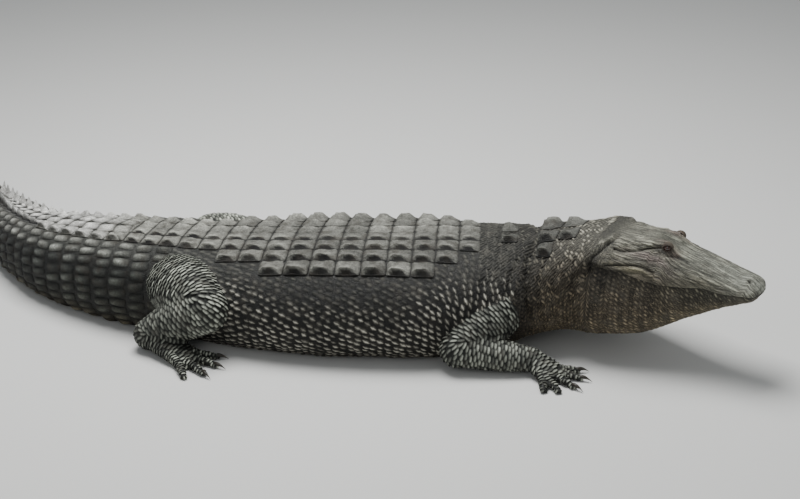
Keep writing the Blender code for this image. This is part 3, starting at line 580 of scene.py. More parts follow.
def modified(obj, kind, **settings):
    """Apply a modifier to an object."""
    activate(obj)
    modifier = obj.modifiers.new("change", kind)
    for name, value in settings.items():
        setattr(modifier, name, value)
    bpy.ops.object.modifier_apply(modifier=modifier.name)


@contextmanager
def editing(mesh):
    """A mesh open for change, written back at the end."""
    bm = bmesh.new()
    bm.from_mesh(mesh)
    yield bm
    bm.to_mesh(mesh)
    bm.free()


def mesh_object(name, points, faces):
    """A new object from arrays of points and faces."""
    mesh = bpy.data.meshes.new(name)
    mesh.from_pydata([tuple(p) for p in points], [], [tuple(f) for f in faces])
    mesh.update()
    obj = bpy.data.objects.new(name, mesh)
    bpy.context.scene.collection.objects.link(obj)
    return obj


def closed_object(name, points, faces):
    """A new closed object with its faces outward."""
    obj = mesh_object(name, points, faces)
    with editing(obj.data) as bm:
        bmesh.ops.recalc_face_normals(bm, faces=bm.faces)
    return obj


def grid_faces(rows, columns, first=0, closed=False):
    """Faces of a grid whose rows are rings, and whose last row may meet its first."""
    faces = []
    for i in range(rows if closed else rows - 1):
        base = first + i * columns
        over = first + (i + 1) % rows * columns
        for j in range(columns):
            k = (j + 1) % columns
            faces.append((base + j, base + k, over + k, over + j))
    return faces


def skin_over(name, rings, first, last):
    """A closed object over rings of points, ending in a point at each end."""
    rings = np.asarray(rings)
    rows, columns = rings.shape[:2]
    end = 2 + (rows - 1) * columns
    caps = []
    for j in range(columns):
        k = (j + 1) % columns
        caps += [(0, 2 + k, 2 + j), (1, end + j, end + k)]
    points = np.concatenate([[first, last], rings.reshape(-1, 3)])
    return closed_object(name, points, caps + grid_faces(rows, columns, 2))


def tube(name, centres, sizes, sides=24):
    """A limb-like tube about a path, its ends domed."""
    centres = np.array([tuple(c) for c in centres], float)
    sizes = np.array(sizes, float)
    turns = np.radians((72, 48, 24))
    start = unit(centres[0] - centres[1])
    end = unit(centres[-1] - centres[-2])
    reach = sizes.min(axis=1)
    head = [centres[0] + start * reach[0] * math.sin(a) for a in turns]
    tail = [centres[-1] + end * reach[-1] * math.sin(a) for a in turns[::-1]]
    head_sizes = [sizes[0] * math.cos(a) for a in turns]
    tail_sizes = [sizes[-1] * math.cos(a) for a in turns[::-1]]
    first = centres[0] + start * reach[0]
    last = centres[-1] + end * reach[-1]
    centres = np.concatenate([head, centres, tail])
    sizes = np.concatenate([head_sizes, sizes, tail_sizes])
    along = unit(np.gradient(centres, axis=0))
    across = unit(np.cross(along, (0, 0, 1)))
    up = np.cross(across, along)
    turn = 2 * math.pi * (np.arange(sides) + 0.5) / sides
    rings = centres[:, None] + across[:, None] * (sizes[:, 0, None] * np.cos(turn))[..., None]
    rings = rings + up[:, None] * (sizes[:, 1, None] * np.sin(turn))[..., None]
    rings[..., 2] = np.maximum(rings[..., 2], 0.0)
    return skin_over(name, rings, first, last)


def toe_paths(limb, side):
    """Centres and sizes along each toe of a foot, with its direction and whether it has a claw."""
    joints = limb_joints(limb, side)
    root = joints[3]
    forward = joints[3] - joints[2]
    forward.z = 0
    forward.normalize()
    outward = Vector((-forward.y, forward.x, 0)) * side
    toes = []
    for index, (angle, length) in enumerate(limb["toes"]):
        turn = math.radians(angle)
        along = forward * math.cos(turn) + outward * math.sin(turn)
        start = root + outward * (math.sin(turn) * TOE_SPREAD) - forward * 0.018
        centres = []
        sizes = []
        for t in np.linspace(0.0, 1.0, 11):
            height = limb["toe_height"] * (1.05 - 0.35 * t)
            knuckle = 1 + 0.10 * math.cos(6 * math.pi * t)
            centre = start + along * (length * t)
            centre.z = height + 0.005 * math.sin(math.pi * t)
            centres.append(centre)
            sizes.append((TOE_HALF_WIDTH * (1.1 - 0.35 * t) * knuckle, height * knuckle))
        toes.append({"centres": centres, "sizes": sizes, "along": along, "claw": index < CLAWED})
    return toes, root, forward, outward


def web_between(limb, side):
    """The thin web between the toes of a hind foot."""
    toes, root, forward, outward = toe_paths(limb, side)
    first, last = [root - forward * 0.03 + outward * (TOE_SPREAD * k) for k in (-0.8, 0.8)]
    rim = [first, toes[0]["centres"][6]]
    for toe, following in zip(toes, toes[1:]):
        rim += [(toe["centres"][5] + following["centres"][5]) / 2, following["centres"][6]]
    rim.append(last)
    count = len(rim)
    points = [(point.x, point.y, height) for height in (0.002, WEB_TOP) for point in rim]
    faces = [tuple(range(count)), tuple(range(2 * count - 1, count - 1, -1))]
    faces += [(k, (k + 1) % count, count + (k + 1) % count, count + k) for k in range(count)]
    return closed_object("web", points, faces)


def limb_skin(limb, side):
    """One limb with its toes, blended into one soft closed skin."""
    joints = limb_joints(limb, side)
    pieces = []
    for k in range(3):
        centres = [joints[k].lerp(joints[k + 1], t) for t in np.linspace(0, 1, 12)]
        pieces.append(tube("limb", centres, sizes_along(limb["sizes"][k], 12)))
    for toe in toe_paths(limb, side)[0]:
        pieces.append(tube("toe", toe["centres"], toe["sizes"], sides=14))
    if limb["webbed"]:
        pieces.append(web_between(limb, side))
    skin = joined(pieces)
    modified(skin, "REMESH", mode="VOXEL", voxel_size=VOXEL)
    modified(skin, "SMOOTH", factor=0.5, iterations=4)
    return skin


def values_of(items, key):
    """A three-part property of all of a mesh's points or faces."""
    values = np.zeros(len(items) * 3, np.float32)
    items.foreach_get(key, values)
    return values.reshape(-1, 3).astype(float)


def limb_places(mesh, points, owner, trunk_tree):
    """Candidate places for scales on each limb: corners and middles of its faces, and their normals."""
    faces = mesh.polygons
    spots = np.concatenate([points, values_of(faces, "center")])
    facing = np.concatenate([values_of(mesh.vertices, "normal"), values_of(faces, "normal")])
    whose = np.concatenate([owner, owner[[face.vertices[0] for face in faces]]])
    clear = spots[:, 2] > 0.004
    for index in np.nonzero(whose >= 0)[0]:
        clear[index] &= trunk_tree.find_nearest(Vector(spots[index]), 0.004)[0] is None
    return [(spots[clear & (whose == k)], facing[clear & (whose == k)]) for k in range(len(LIMBS))]


class LimbScales:
    """Scales packed over a limb in rows round its path and round the paths of its toes."""

    def __init__(self, spots, normals, paths, pitches):
        samples = []
        for number, centres in enumerate(paths):
            path = [centres[0]]
            for a, b in zip(centres, centres[1:]):
                steps = max(2, int((b - a).length / PATH_STEP))
                path += [a.lerp(b, k / steps) for k in range(1, steps + 1)]
            path = rounded(np.array([tuple(p) for p in path]), 2 if number else 12)
            tangent = unit(np.gradient(path, axis=0))
            run = np.arange(len(path)) * PATH_STEP
            samples += [(*p, *d, r, number) for p, d, r in zip(path, tangent, run)]
        samples = np.array(samples)
        gap = np.linalg.norm(spots[:, None] - samples[None, :, :3], axis=2)
        nearest = samples[gap.argmin(axis=1)]
        tangent = nearest[:, 3:6]
        out = spots - nearest[:, :3]
        across = np.cross(tangent, (0, 0, 1))
        self.turn = np.arctan2((out * across).sum(axis=1), (out * np.cross(across, tangent)).sum(axis=1))
        self.run = nearest[:, 6] + (out * tangent).sum(axis=1)
        self.number = nearest[:, 7].astype(int)
        ahead = tangent - normals * (tangent * normals).sum(axis=1, keepdims=True)
        size = np.linalg.norm(ahead, axis=1, keepdims=True)
        self.ahead = ahead / np.maximum(size, 1e-6)
        self.beside = np.cross(normals, self.ahead)
        self.spots = spots
        self.normals = normals
        self.pitch = np.array(pitches)[np.minimum(self.number, 1)]
        self.chosen = []
        order = np.lexsort((self.turn, np.round(self.run / 0.0025), self.number))
        for k in order[size[order, 0] > 0.2]:
            if self.chosen:
                offset = spots[k] - spots[self.chosen]
                pitch, wide = self.pitch[k]
                apart = (offset @ self.ahead[k] / pitch) ** 2 + (offset @ self.beside[k] / wide) ** 2
                apart += (offset @ normals[k] / wide) ** 2
                if apart.min() < 0.93:
                    continue
            self.chosen.append(k)

    def read(self, p, q, owner):
        """Skin under the scales, from offsets down and round the limb."""
        k = owner.astype(int)
        wanted = self.spots[k][:, None] + self.ahead[k][:, None] * p[..., None]
        wanted += self.beside[k][:, None] * q[..., None]
        points = np.zeros(wanted.shape)
        normals = np.zeros(wanted.shape)
        good = np.zeros(p.shape, bool)
        for i in np.ndindex(p.shape):
            points[i], normals[i], _, far = MADE["tree"].find_nearest(Vector(wanted[i]))
            good[i] = far < 0.012
        return points, unit(normals + self.normals[k][:, None] * 0.6), good


def rounded(path, reach):
    """A path with its corners rounded by a moving average that keeps its ends."""
    padded = np.concatenate([np.repeat(path[:1], reach, 0), path, np.repeat(path[-1:], reach, 0)])
    kernel = np.hanning(2 * reach + 3)[1:-1]
    kernel /= kernel.sum()
    return np.stack([np.convolve(padded[:, k], kernel, "valid") for k in range(3)], axis=1)


# Colours of the hide at a few stations: top, upper side, lower side, underneath
HIDE_COLOURS = (
    (0.00, (140, 142, 131), (128, 129, 117), (78, 74, 62), (124, 114, 94)),
    (0.14, (122, 123, 112), (98, 96, 83), (60, 56, 45), (118, 108, 86)),
    (0.27, (104, 104, 93), (76, 72, 62), (80, 72, 58), (112, 102, 82)),
    (0.40, (108, 107, 96), (72, 67, 57), (84, 75, 60), (106, 96, 77)),
    (0.52, (98, 96, 87), (78, 71, 59), (96, 86, 69), (110, 100, 81)),
    (0.60, (66, 64, 57), (62, 57, 47), (84, 75, 60), (108, 97, 77)),
    (0.66, (50, 49, 43), (42, 39, 33), (60, 53, 43), (100, 90, 70)),
    (0.85, (64, 64, 58), (32, 32, 28), (36, 33, 26), (108, 96, 72)),
    (1.20, (66, 66, 60), (27, 28, 24), (28, 26, 21), (108, 96, 72)),
    (1.60, (70, 71, 66), (31, 33, 29), (36, 35, 29), (102, 92, 72)),
    (1.85, (128, 129, 122), (42, 44, 41), (46, 47, 42), (96, 88, 70)),
    (2.30, (140, 140, 133), (46, 48, 46), (48, 49, 45), (84, 80, 66)),
    (3.45, (100, 101, 96), (42, 44, 42), (42, 43, 40), (64, 62, 54)),
)
# Patches of other colours and of painted shade: station, girth, reach along and across, colour, strength
HEAD_MARKS_AND_SHADE = (
    # Painted shade round the eye
    (0.250, 0.064, 0.034, 0.018, (38, 27, 24), 0.92),
    (0.262, 0.036, 0.024, 0.008, (150, 126, 118), 0.35),
    # Painted shade in the fold before the eye
    (0.222, 0.052, 0.012, 0.010, (70, 50, 44), 0.60),
    (0.285, 0.106, 0.060, 0.014, (108, 94, 92), 0.60),
    (0.325, 0.158, 0.050, 0.009, (104, 99, 78), 0.65),
    # Painted shade at the corner of the mouth
    (0.390, 0.215, 0.026, 0.026, (30, 27, 22), 0.75),
)
LEG_COLOUR = (42, 46, 40)
LEG_CREST = (184, 188, 174)


def linear(colour):
    """Linear light of a colour given in 0 to 255 steps."""
    colour = np.asarray(colour, float) / 255
    return np.where(colour <= 0.04045, colour / 12.92, ((colour + 0.055) / 1.055) ** 2.4)


def hide_colour(s, g):
    """Colour of the bare hide at a station and girth, in linear light, with painted shade round the eye,
    before it and at the mouth's corner, and fine wrinkles painted as light and dark stripes.
    """
    stations = [row[0] for row in HIDE_COLOURS]
    bands = linear([row[1:] for row in HIDE_COLOURS])
    share = np.clip(np.abs(g) / TRUNK.girth(s), 0.0, 1.0)
    marks = np.interp(share, (0.0, 0.22, 0.36, 0.62, 0.80, 1.0), (0.0, 0.25, 1.0, 2.0, 3.0, 3.0))
    low = np.clip(marks.astype(int), 0, 2)
    result = np.zeros(share.shape + (3,))
    for k in range(4):
        level = np.stack([np.interp(s, stations, bands[:, k, c]) for c in range(3)], axis=-1)
        weight = np.where(low == k, 1 - (marks - low), 0) + np.where(low + 1 == k, marks - low, 0)
        result += level * weight[..., None]
    for at_s, at_g, long, wide, colour, strength in HEAD_MARKS_AND_SHADE:
        mark = strength * hump(s, at_s, long) * hump(np.abs(g), at_g, wide)
        result += (linear(colour) - result) * mark[..., None]
    # Painted light and shade of fine wrinkles: stripes across the neck and along the head's sides, on the
    # lower part of the sides
    wander = 2.5 * np.sin(22 * g + 30 * s) + 1.5 * np.sin(61 * g)
    upright = np.sin(2 * np.pi * s / 0.012 + wander) * smooth((s - 0.43) / 0.04) * smooth((0.70 - s) / 0.04)
    level = np.sin(2 * np.pi * g / 0.013 + 2.5 * np.sin(27 * s + 15 * g)) * smooth((0.46 - s) / 0.04)
    painted_wrinkle_share = smooth((share - 0.30) / 0.2)
    return result * (1 + 0.42 * (upright + level * smooth((s - 0.18) / 0.06)) * painted_wrinkle_share)[..., None]


def set_points(mesh, name, values):
    """Store a number, a vector or the tint at each point of a mesh."""
    values = np.asarray(values, np.float32)
    if name == "tint":
        values = np.c_[values, np.ones(len(values), np.float32)]
    kinds = {1: ("FLOAT", "value"), 3: ("FLOAT_VECTOR", "vector"), 4: ("FLOAT_COLOR", "color")}
    kind, key = kinds[values.size // len(values)]
    mesh.attributes.new(name, kind, "POINT").data.foreach_set(key, values.ravel())


def trunk_skin():
    """The closed hide of head, neck, trunk and tail."""
    rings = TRUNK.points
    centre = rings.mean(axis=1)
    forward = np.array(directions(0.0)[0])
    backward = np.array(directions(TOTAL_LENGTH)[0])
    nose = []
    for turn in np.radians((70, 45, 22)):
        ring = centre[0] + (rings[0] - centre[0]) * math.cos(turn)
        nose.append(ring + forward * (0.0045 * math.sin(turn)))
    first = centre[0] + forward * 0.0046
    return skin_over("hide", np.concatenate([nose, rings]), first, centre[-1] - backward * 0.006)


def point_tree(points):
    """A tree that finds the nearest of many points."""
    tree = KDTree(len(points))
    for index, point in enumerate(points):
        tree.insert(point, index)
    tree.balance()
    return tree


def soften_seams(skin, trees):
    """Round the crease where each limb leaves the trunk."""
    with editing(skin.data) as bm:
        owner = []
        for vert in bm.verts:
            touching = (k for k, tree in enumerate(trees) if tree.find_nearest(vert.co, 2e-5)[0] is not None)
            owner.append(next(touching, -1))
        seam = [v for e in bm.edges for v in e.verts if owner[e.verts[0].index] != owner[e.verts[1].index]]
        tree = point_tree([vert.co for vert in seam])
        near = [(v, tree.find(v.co)[2]) for v in bm.verts]
        near = [(v, math.exp(-((far / 0.012) ** 2))) for v, far in near if far < 0.03]
        for _ in range(10):
            moves = []
            for vert, weight in near:
                others = [e.other_vert(vert).co for e in vert.link_edges]
                mean = sum(others, Vector()) / len(others)
                moves.append(vert.co.lerp(mean, 0.55 * weight))
            for (vert, _), move in zip(near, moves):
                vert.co = move
        for vert in bm.verts:
            vert.co.z = max(vert.co.z, 0.0)
        bmesh.ops.triangulate(bm, faces=[f for f in bm.faces if len(f.verts) > 4])


def trunk_places(points):
    """Station, girth and painted fold shading at the point of the trunk nearest to each of many points."""
    grid = TRUNK.points
    rows, columns = grid.shape[:2]
    tree = point_tree(grid.reshape(-1, 3))
    found = np.array([tree.find(p)[1] for p in points])
    row = found // columns
    column = found % columns
    fold_shading = TRUNK.fold_shading[row, column]
    column = np.where(column >= TRUNK.half, columns - column, column)
    run = running(np.linalg.norm(np.diff(grid[:, : TRUNK.half], axis=1), axis=2))
    return TRUNK.s[row], run[row, column], fold_shading


MADE = {}


def finish_piece(obj, material, replaced=()):
    """Give a piece its material and slot, and let it ride on the body."""
    obj.data.materials.clear()
    obj.data.materials.append(material)
    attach(obj, "root")
    if replaced:
        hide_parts(*replaced)


def add_node(tree, kind, values=(), **settings):
    """A shader node with its settings and with numbers or sockets for its inputs."""
    node = tree.nodes.new("ShaderNode" + kind)
    for name, value in settings.items():
        setattr(node, name, value)
    fill(tree, node.inputs, values)
    return node


def fill(tree, inputs, values):
    """Give inputs their values, and link those that are sockets."""
    for key, value in dict(values).items():
        if isinstance(value, bpy.types.NodeSocket):
            tree.links.new(value, inputs[key])
        else:
            inputs[key].default_value = value


def number_node(tree, operation, *values):
    """A Math node whose inputs are numbers or sockets."""
    return add_node(tree, "Math", enumerate(values), operation=operation).outputs[0]


def noise_node(tree, vector, scale, detail=4.0):
    values = {"Vector": vector, "Scale": scale, "Detail": detail}
    return add_node(tree, "TexNoise", values).outputs["Fac"]


def share_node(tree, value, low, high, **settings):
    """How far a value is from a low to a high one, 0 to 1."""
    values = {"Value": value, "From Min": low, "From Max": high}
    return add_node(tree, "MapRange", values, **settings).outputs["Result"]


def scaled(tree, colour, factor):
    return add_node(tree, "VectorMath", {0: colour, "Scale": factor}, operation="SCALE").outputs[0]


def attribute(tree, name, output="Fac"):
    return add_node(tree, "Attribute", attribute_name=name).outputs[output]


def bump_node(tree, height, distance, **under):
    values = {"Distance": distance, "Height": height, **under}
    return add_node(tree, "Bump", values).outputs["Normal"]


def streak_noise(tree, vector, scale):
    """Noise drawn out along one direction."""
    mapping = add_node(tree, "Mapping", {"Vector": vector, "Scale": scale})
    return noise_node(tree, mapping.outputs["Vector"], 1.0, 3.0)


def thin_lines(tree, value, amount):
    """How far noise is from its middle, times an amount: raised pale fields parted by thin grooves; as colour
    the thin dark lines are painted shade of the grooves.
    """
    away = number_node(tree, "ABSOLUTE", number_node(tree, "SUBTRACT", value, 0.5))
    return number_node(tree, "MULTIPLY", away, amount)


def new_group(name, inputs, outputs):
    """A node group with its sockets, what comes in and what goes out."""
    tree = bpy.data.node_groups.new(name, "ShaderNodeTree")
    for side, sockets in (("INPUT", inputs), ("OUTPUT", outputs)):
        for label, kind in sockets.items():
            tree.interface.new_socket(name=label, in_out=side, socket_type="NodeSocket" + kind)
    return tree, tree.nodes.new("NodeGroupInput").outputs, tree.nodes.new("NodeGroupOutput").inputs


def granule_group(name):
    """Small rounded grains with cracks between them: a height and a mask of the cracks."""
    inputs = {"Vector": "Vector", "Grains per metre": "Float", "Crack width": "Float"}
    tree, given, result = new_group(name, inputs, {"Height": "Float", "Crack": "Float"})
    wander = add_node(tree, "TexNoise", {"Vector": given["Vector"], "Scale": 60.0}).outputs["Color"]
    values = {0: wander, 1: (0.004, 0.004, 0.004), 2: given["Vector"]}
    shifted = add_node(tree, "VectorMath", values, operation="MULTIPLY_ADD").outputs[0]
    values = {"Vector": shifted, "Scale": given["Grains per metre"]}
    cells = add_node(tree, "TexVoronoi", values, feature="DISTANCE_TO_EDGE").outputs["Distance"]
    height = share_node(tree, cells, 0.0, given["Crack width"], interpolation_type="SMOOTHSTEP")
    fill(tree, result, {"Height": height, "Crack": number_node(tree, "SUBTRACT", 1.0, height)})
    return tree


def mottle_group(name):
    """A colour that drifts lighter and darker over the surface, with dry dust in patches."""
    inputs = {"Vector": "Vector", "Colour": "Color", "Dust colour": "Color", "Dust": "Float"}
    inputs["Spread"] = "Float"
    tree, given, result = new_group(name, inputs, {"Colour": "Color", "Dust": "Float"})
    broad = noise_node(tree, given["Vector"], 9.0, 5.0)
    fine = noise_node(tree, given["Vector"], 160.0, 3.0)
    sway = number_node(tree, "SUBTRACT", number_node(tree, "ADD", broad, fine), 1.0)
    tone = scaled(tree, given["Colour"], number_node(tree, "MULTIPLY_ADD", sway, given["Spread"], 1.0))
    patches = share_node(tree, noise_node(tree, given["Vector"], 34.0, 6.0), 0.48, 0.68)
    dust = number_node(tree, "MULTIPLY", patches, given["Dust"])
    mix = add_node(tree, "Mix", {"Factor": dust, "A": tone, "B": given["Dust colour"]}, data_type="RGBA")
    fill(tree, result, {"Colour": mix.outputs["Result"], "Dust": dust})
    return tree


def group_node(tree, name, build, values):
    """A node of a group that is built once, and its outputs."""
    group = bpy.data.node_groups.get(name) or build(name)
    return add_node(tree, "Group", values, node_tree=group).outputs


def mottled(tree, place_on, colour, dust, spread, dirt):
    values = {"Vector": place_on, "Colour": colour, "Dust colour": (*dirt, 1), "Dust": dust, "Spread": spread}
    return group_node(tree, "Mottle", mottle_group, values)


def granules(tree, place_on, grains, crack):
    values = {"Vector": place_on, "Grains per metre": grains, "Crack width": crack}
    return group_node(tree, "Granules", granule_group, values)


def new_material(name, roughness):
    """A material, its nodes, its shader's inputs and object coordinates."""
    material = bpy.data.materials.new(name)
    material.use_nodes = True
    tree = material.node_tree
    shader = tree.nodes["Principled BSDF"].inputs
    fill(tree, shader, {"Roughness": roughness, "Specular IOR Level": 0.35})
    return material, tree, shader, add_node(tree, "TexCoord").outputs["Object"]


def hide_material(name):
    """Hide in small grains, wrinkled on the neck and grooved along the snout, its colour darker in the
    grooves and folds, painted shade, and paler between them, painted highlight.
    """
    material, tree, shader, place_on = new_material(name, 0.62)
    neck = attribute(tree, "neck")
    snout = attribute(tree, "snout")
    flow = attribute(tree, "flow", "Vector")
    mottle = mottled(tree, place_on, attribute(tree, "tint", "Color"), 0.38, 0.9, (0.085, 0.072, 0.056))
    grains = granules(tree, place_on, 150.0, 0.16)
    folds = thin_lines(tree, streak_noise(tree, flow, (120, 24, 1)), neck)
    grooves = thin_lines(tree, streak_noise(tree, flow, (11, 85, 1)), snout)
    hairs = share_node(tree, streak_noise(tree, flow, (17, 170, 1)), 0.55, 0.66)
    strands = number_node(tree, "MULTIPLY", hairs, snout)
    # The grooves and folds set the colour too: painted shade in them and painted highlight between
    light = number_node(tree, "MULTIPLY_ADD", grooves, 9.5, number_node(tree, "MULTIPLY", folds, 8.0))
    light = number_node(tree, "MULTIPLY_ADD", strands, 1.1, light)
    smoother = number_node(tree, "MULTIPLY_ADD", snout, -0.6, 1.0)
    cracks = number_node(tree, "MULTIPLY", grains["Crack"], smoother)
    dark = scaled(tree, mottle["Colour"], number_node(tree, "MULTIPLY_ADD", cracks, -0.5, 1.0))
    fine = bump_node(tree, number_node(tree, "MULTIPLY", grains["Height"], smoother), 0.0012)
    streaks = number_node(tree, "MULTIPLY_ADD", strands, 0.12, number_node(tree, "ADD", folds, grooves))
    colour = scaled(tree, dark, number_node(tree, "ADD", light, 0.42))
    fill(tree, shader, {"Base Color": colour, "Normal": bump_node(tree, streaks, 0.014, Normal=fine)})
    return material


def horn_material(name, roughness, dust, dirt, spread, grain, depth):
    """Horn of plates and scales, with pits and dust."""
    material, tree, shader, place_on = new_material(name, roughness)
    mottle = mottled(tree, place_on, attribute(tree, "tint", "Color"), dust, spread, dirt)
    pits = granules(tree, place_on, grain, 0.30)
    open_share = number_node(tree, "MULTIPLY_ADD", pits["Crack"], -0.30, 1.0)
    values = {
        "Base Color": scaled(tree, mottle["Colour"], open_share),
        "Normal": bump_node(tree, pits["Height"], depth),
        "Roughness": number_node(tree, "MULTIPLY_ADD", mottle["Dust"], 0.25, roughness),
    }
    fill(tree, shader, values)
    return material


# Roughness, dust and its colour, spread of tone, grains per metre and their depth
HORNS = {
    "Plate horn": (0.74, 0.55, (0.060, 0.052, 0.042), 1.7, 230.0, 0.0015),
    "Small scales": (0.66, 0.15, (0.30, 0.28, 0.23), 0.9, 420.0, 0.0005),
}


def horn(name):
    return bpy.data.materials.get(name) or horn_material(name, *HORNS[name])


def master_patch(columns, rows):
    """A flat grid with a skirt: column and row of each point, whether it is on top, and the faces."""
    bpy.ops.object.select_all(action="DESELECT")
    bpy.ops.mesh.primitive_grid_add(x_subdivisions=columns - 1, y_subdivisions=rows - 1, size=2.0)
    patch = bpy.context.object
    bpy.ops.object.mode_set(mode="EDIT")
    bpy.ops.mesh.select_all(action="DESELECT")
    bpy.ops.mesh.select_mode(type="EDGE")
    bpy.ops.mesh.select_non_manifold()
    bpy.ops.mesh.extrude_region_move(TRANSFORM_OT_translate={"value": (0, 0, -1)})
    bpy.ops.mesh.edge_face_add()
    bpy.ops.mesh.select_all(action="SELECT")
    bpy.ops.mesh.normals_make_consistent(inside=False)
    bpy.ops.object.mode_set(mode="OBJECT")
    points = values_of(patch.data.vertices, "co")
    faces = [tuple(f.vertices) for f in patch.data.polygons]
    bpy.data.objects.remove(patch)
    column = np.rint((points[:, 0] + 1) / 2 * (columns - 1)).astype(int)
    row = np.rint((points[:, 1] + 1) / 2 * (rows - 1)).astype(int)
    return column, row, points[:, 2] > -0.5, faces


def squircle(x, y, corner):
    """Rounds the square outline of a patch: 1 gives a lozenge, 2 an oval, more a rectangle."""
    largest = np.maximum(np.abs(x), np.abs(y))
    norm = (np.abs(x) ** corner + np.abs(y) ** corner) ** (1 / corner)
    shrink = np.where(norm > 0, largest / np.maximum(norm, 1e-9), 1.0)
    return x * shrink, y * shrink


def lay_scales(name, kind, cells, paint, read=None, unwrap=None):
    """One mesh of many scales of a kind that follow the skin.

    cells holds, for each scale: place along and across, its length, width, height, turn, side and draw.
    paint gives the dark and the light colour of each scale, read the skin under its points and unwrap
    its place on the skin's unwrap, all from place, side and draw.
    """
    columns, rows = kind.grid
    column, row, on_top, faces = master_patch(columns, rows)
    ahead = column / (columns - 1) * 2 - 1
    beside = np.asarray(kind.rows_at)[row] if kind.rows_at else row / (rows - 1) * 2 - 1
    cells = np.asarray(cells, float)
    along, across, length, width, height, turn, side, draw = cells.T
    x = np.broadcast_to(ahead, (len(cells), len(ahead)))
    y = np.broadcast_to(beside, x.shape)
    level, light = kind.shape(x, y, draw[:, None])
    x, y = squircle(x, y, kind.corner)
    dx = x * length[:, None] / 2
    dy = y * width[:, None] / 2
    cos = np.cos(turn)[:, None]
    sin = np.sin(turn)[:, None]
    p = along[:, None] - (dx * cos - dy * sin)
    q = across[:, None] + (dx * sin + dy * cos)
    points, normals, good = (read or read_trunk)(p, q, side)
    keep = good.all(axis=1)
    lift = np.where(on_top, level * height[:, None], -kind.sunk)
    points = points + normals * lift[..., None]
    points[..., 2] = np.maximum(points[..., 2], FLOOR_GAP)
    low, high = paint(along, across, side, draw)
    tint = low[:, None] + (high - low)[:, None] * np.broadcast_to(light, lift.shape)[..., None]
    u, v = (unwrap or trunk_unwrap)(along, across, side)
    flat = np.stack([u[:, None] + x * UV_HALF, v[:, None] + y * UV_HALF], axis=-1)
    points, tint, flat = points[keep], tint[keep], flat[keep]
    count = len(column)
    starts = range(0, len(points) * count, count)
    all_faces = [[base + v for v in face] for base in starts for face in faces]
    obj = mesh_object(name, points.reshape(-1, 3), all_faces)
    mesh = obj.data
    set_points(mesh, "tint", tint.reshape(-1, 3))
    corners = np.zeros(len(mesh.loops), int)
    mesh.loops.foreach_get("vertex_index", corners)
    layer = mesh.uv_layers.new(name="OFBake")
    layer.data.foreach_set("uv", flat.reshape(-1, 2)[corners].astype(np.float32).ravel())
    orient_outward(mesh, points, faces)
    activate(obj)
    bpy.ops.object.shade_smooth_by_angle(angle=math.radians(50))
    finish_piece(obj, horn(kind.material))


def lay_both_sides(name, kind, cells, paint):
    """The scales of the right and of the left side as a piece each."""
    for side, side_name in SIDES:
        lay_scales(name + "_" + side_name, kind, [cell for cell in cells if cell[6] == side], paint)


def orient_outward(mesh, points, faces):
    """Turn every scale's faces outward when the skin's own frame mirrors them."""
    first, second, third = (points[:, k] for k in faces[0][:3])
    facing = np.cross(second - first, third - first)
    flip = ((first - points.mean(axis=1)) * facing).sum(axis=1) < 0
    if flip.any():
        with editing(mesh) as bm:
            bm.faces.ensure_lookup_table()
            starts = np.nonzero(flip)[0] * len(faces)
            turned = [bm.faces[start + k] for start in starts for k in range(len(faces))]
            bmesh.ops.reverse_faces(bm, faces=turned)


def read_trunk(p, q, side):
    """Skin under scales of the trunk; a place that a limb covers is not good."""
    points = np.zeros(p.shape + (3,))
    normals = np.zeros(p.shape + (3,))
    for value, _ in SIDES:
        rows = side == value
        if rows.any():
            points[rows], normals[rows] = TRUNK.at(p[rows], q[rows], value)
    far = np.array([MADE["tree"].find_nearest(Vector(centre))[3] for centre in points.mean(axis=1)])
    return points, normals, np.broadcast_to((far < 0.006)[:, None], p.shape)


def trunk_unwrap(along, across, side):
    """Places of scales on an unwrap of the trunk's skin, left and right halves side by side."""
    span = max(np.ptp(along), 1e-6)
    reach = max(np.abs(across).max(), 1e-6)
    return 0.01 + 0.98 * (along - along.min()) / span, 0.5 + 0.48 * side * np.abs(across) / reach


def jitter(rng, spread):
    return 1 + rng.uniform(-spread, spread)


def keeled(x, y, draw):
    """A plate that rises towards its outer side to a keel and falls off steeply behind it; its colour has a
    painted highlight up the slope to the keel and painted shade, a dark lens, on the steep face below it.
    """
    crest = 0.40
    inner = np.clip((y + 1) / (1 + crest), 0, 1) ** 2.2
    outer = np.clip(1 - (y - crest) / 0.42, 0, 1)
    run = smooth((0.98 - x) / 0.95) * smooth((x + 0.98) / 0.40)
    ends = smooth((1 - np.abs(x)) / 0.12)
    lump = 0.07 * np.sin(5 * x + 40 * draw) * np.cos(4 * y + 17 * draw)
    level = 0.16 + 0.05 * ends + 0.79 * run * np.where(y < crest, inner, outer) + lump * ends
    # The dark lens under the keel's outer side is painted shade
    behind = x + 0.06 + 0.10 * np.sin(31 * draw)
    arch = crest + 0.09 + 0.04 * np.sin(70 * draw) + 0.44 * (behind / 0.90) ** 2
    under = smooth((y - arch) / 0.10 + 0.5) * (0.93 + 0.07 * np.sin(50 * draw))
    # Lighter up the inner slope to the keel: a painted highlight
    light = 0.50 + 0.50 * run * inner * (y < crest + 0.02) + 1.8 * lump - 0.30 * (1 - ends)
    return level, np.clip(light * (1 - under), 0, 1)


def blade(x, y, draw):
    """A keel of the tail's crest, swept to the rear, painted lighter towards its top and dark low on its
    outer side: painted highlight and painted shade.
    """
    ridge = np.exp(-((np.abs(y) / 0.34) ** 1.3))
    run = smooth((1.05 - x) / 1.55) * smooth((x + 1.05) / 0.30)
    level = 0.07 + 0.93 * run * ridge
    return level, np.clip(0.9 * np.sqrt(level) + 0.35 * (y < 0.1) - 0.8 * hump(y, 0.55, 0.25), 0, 1)


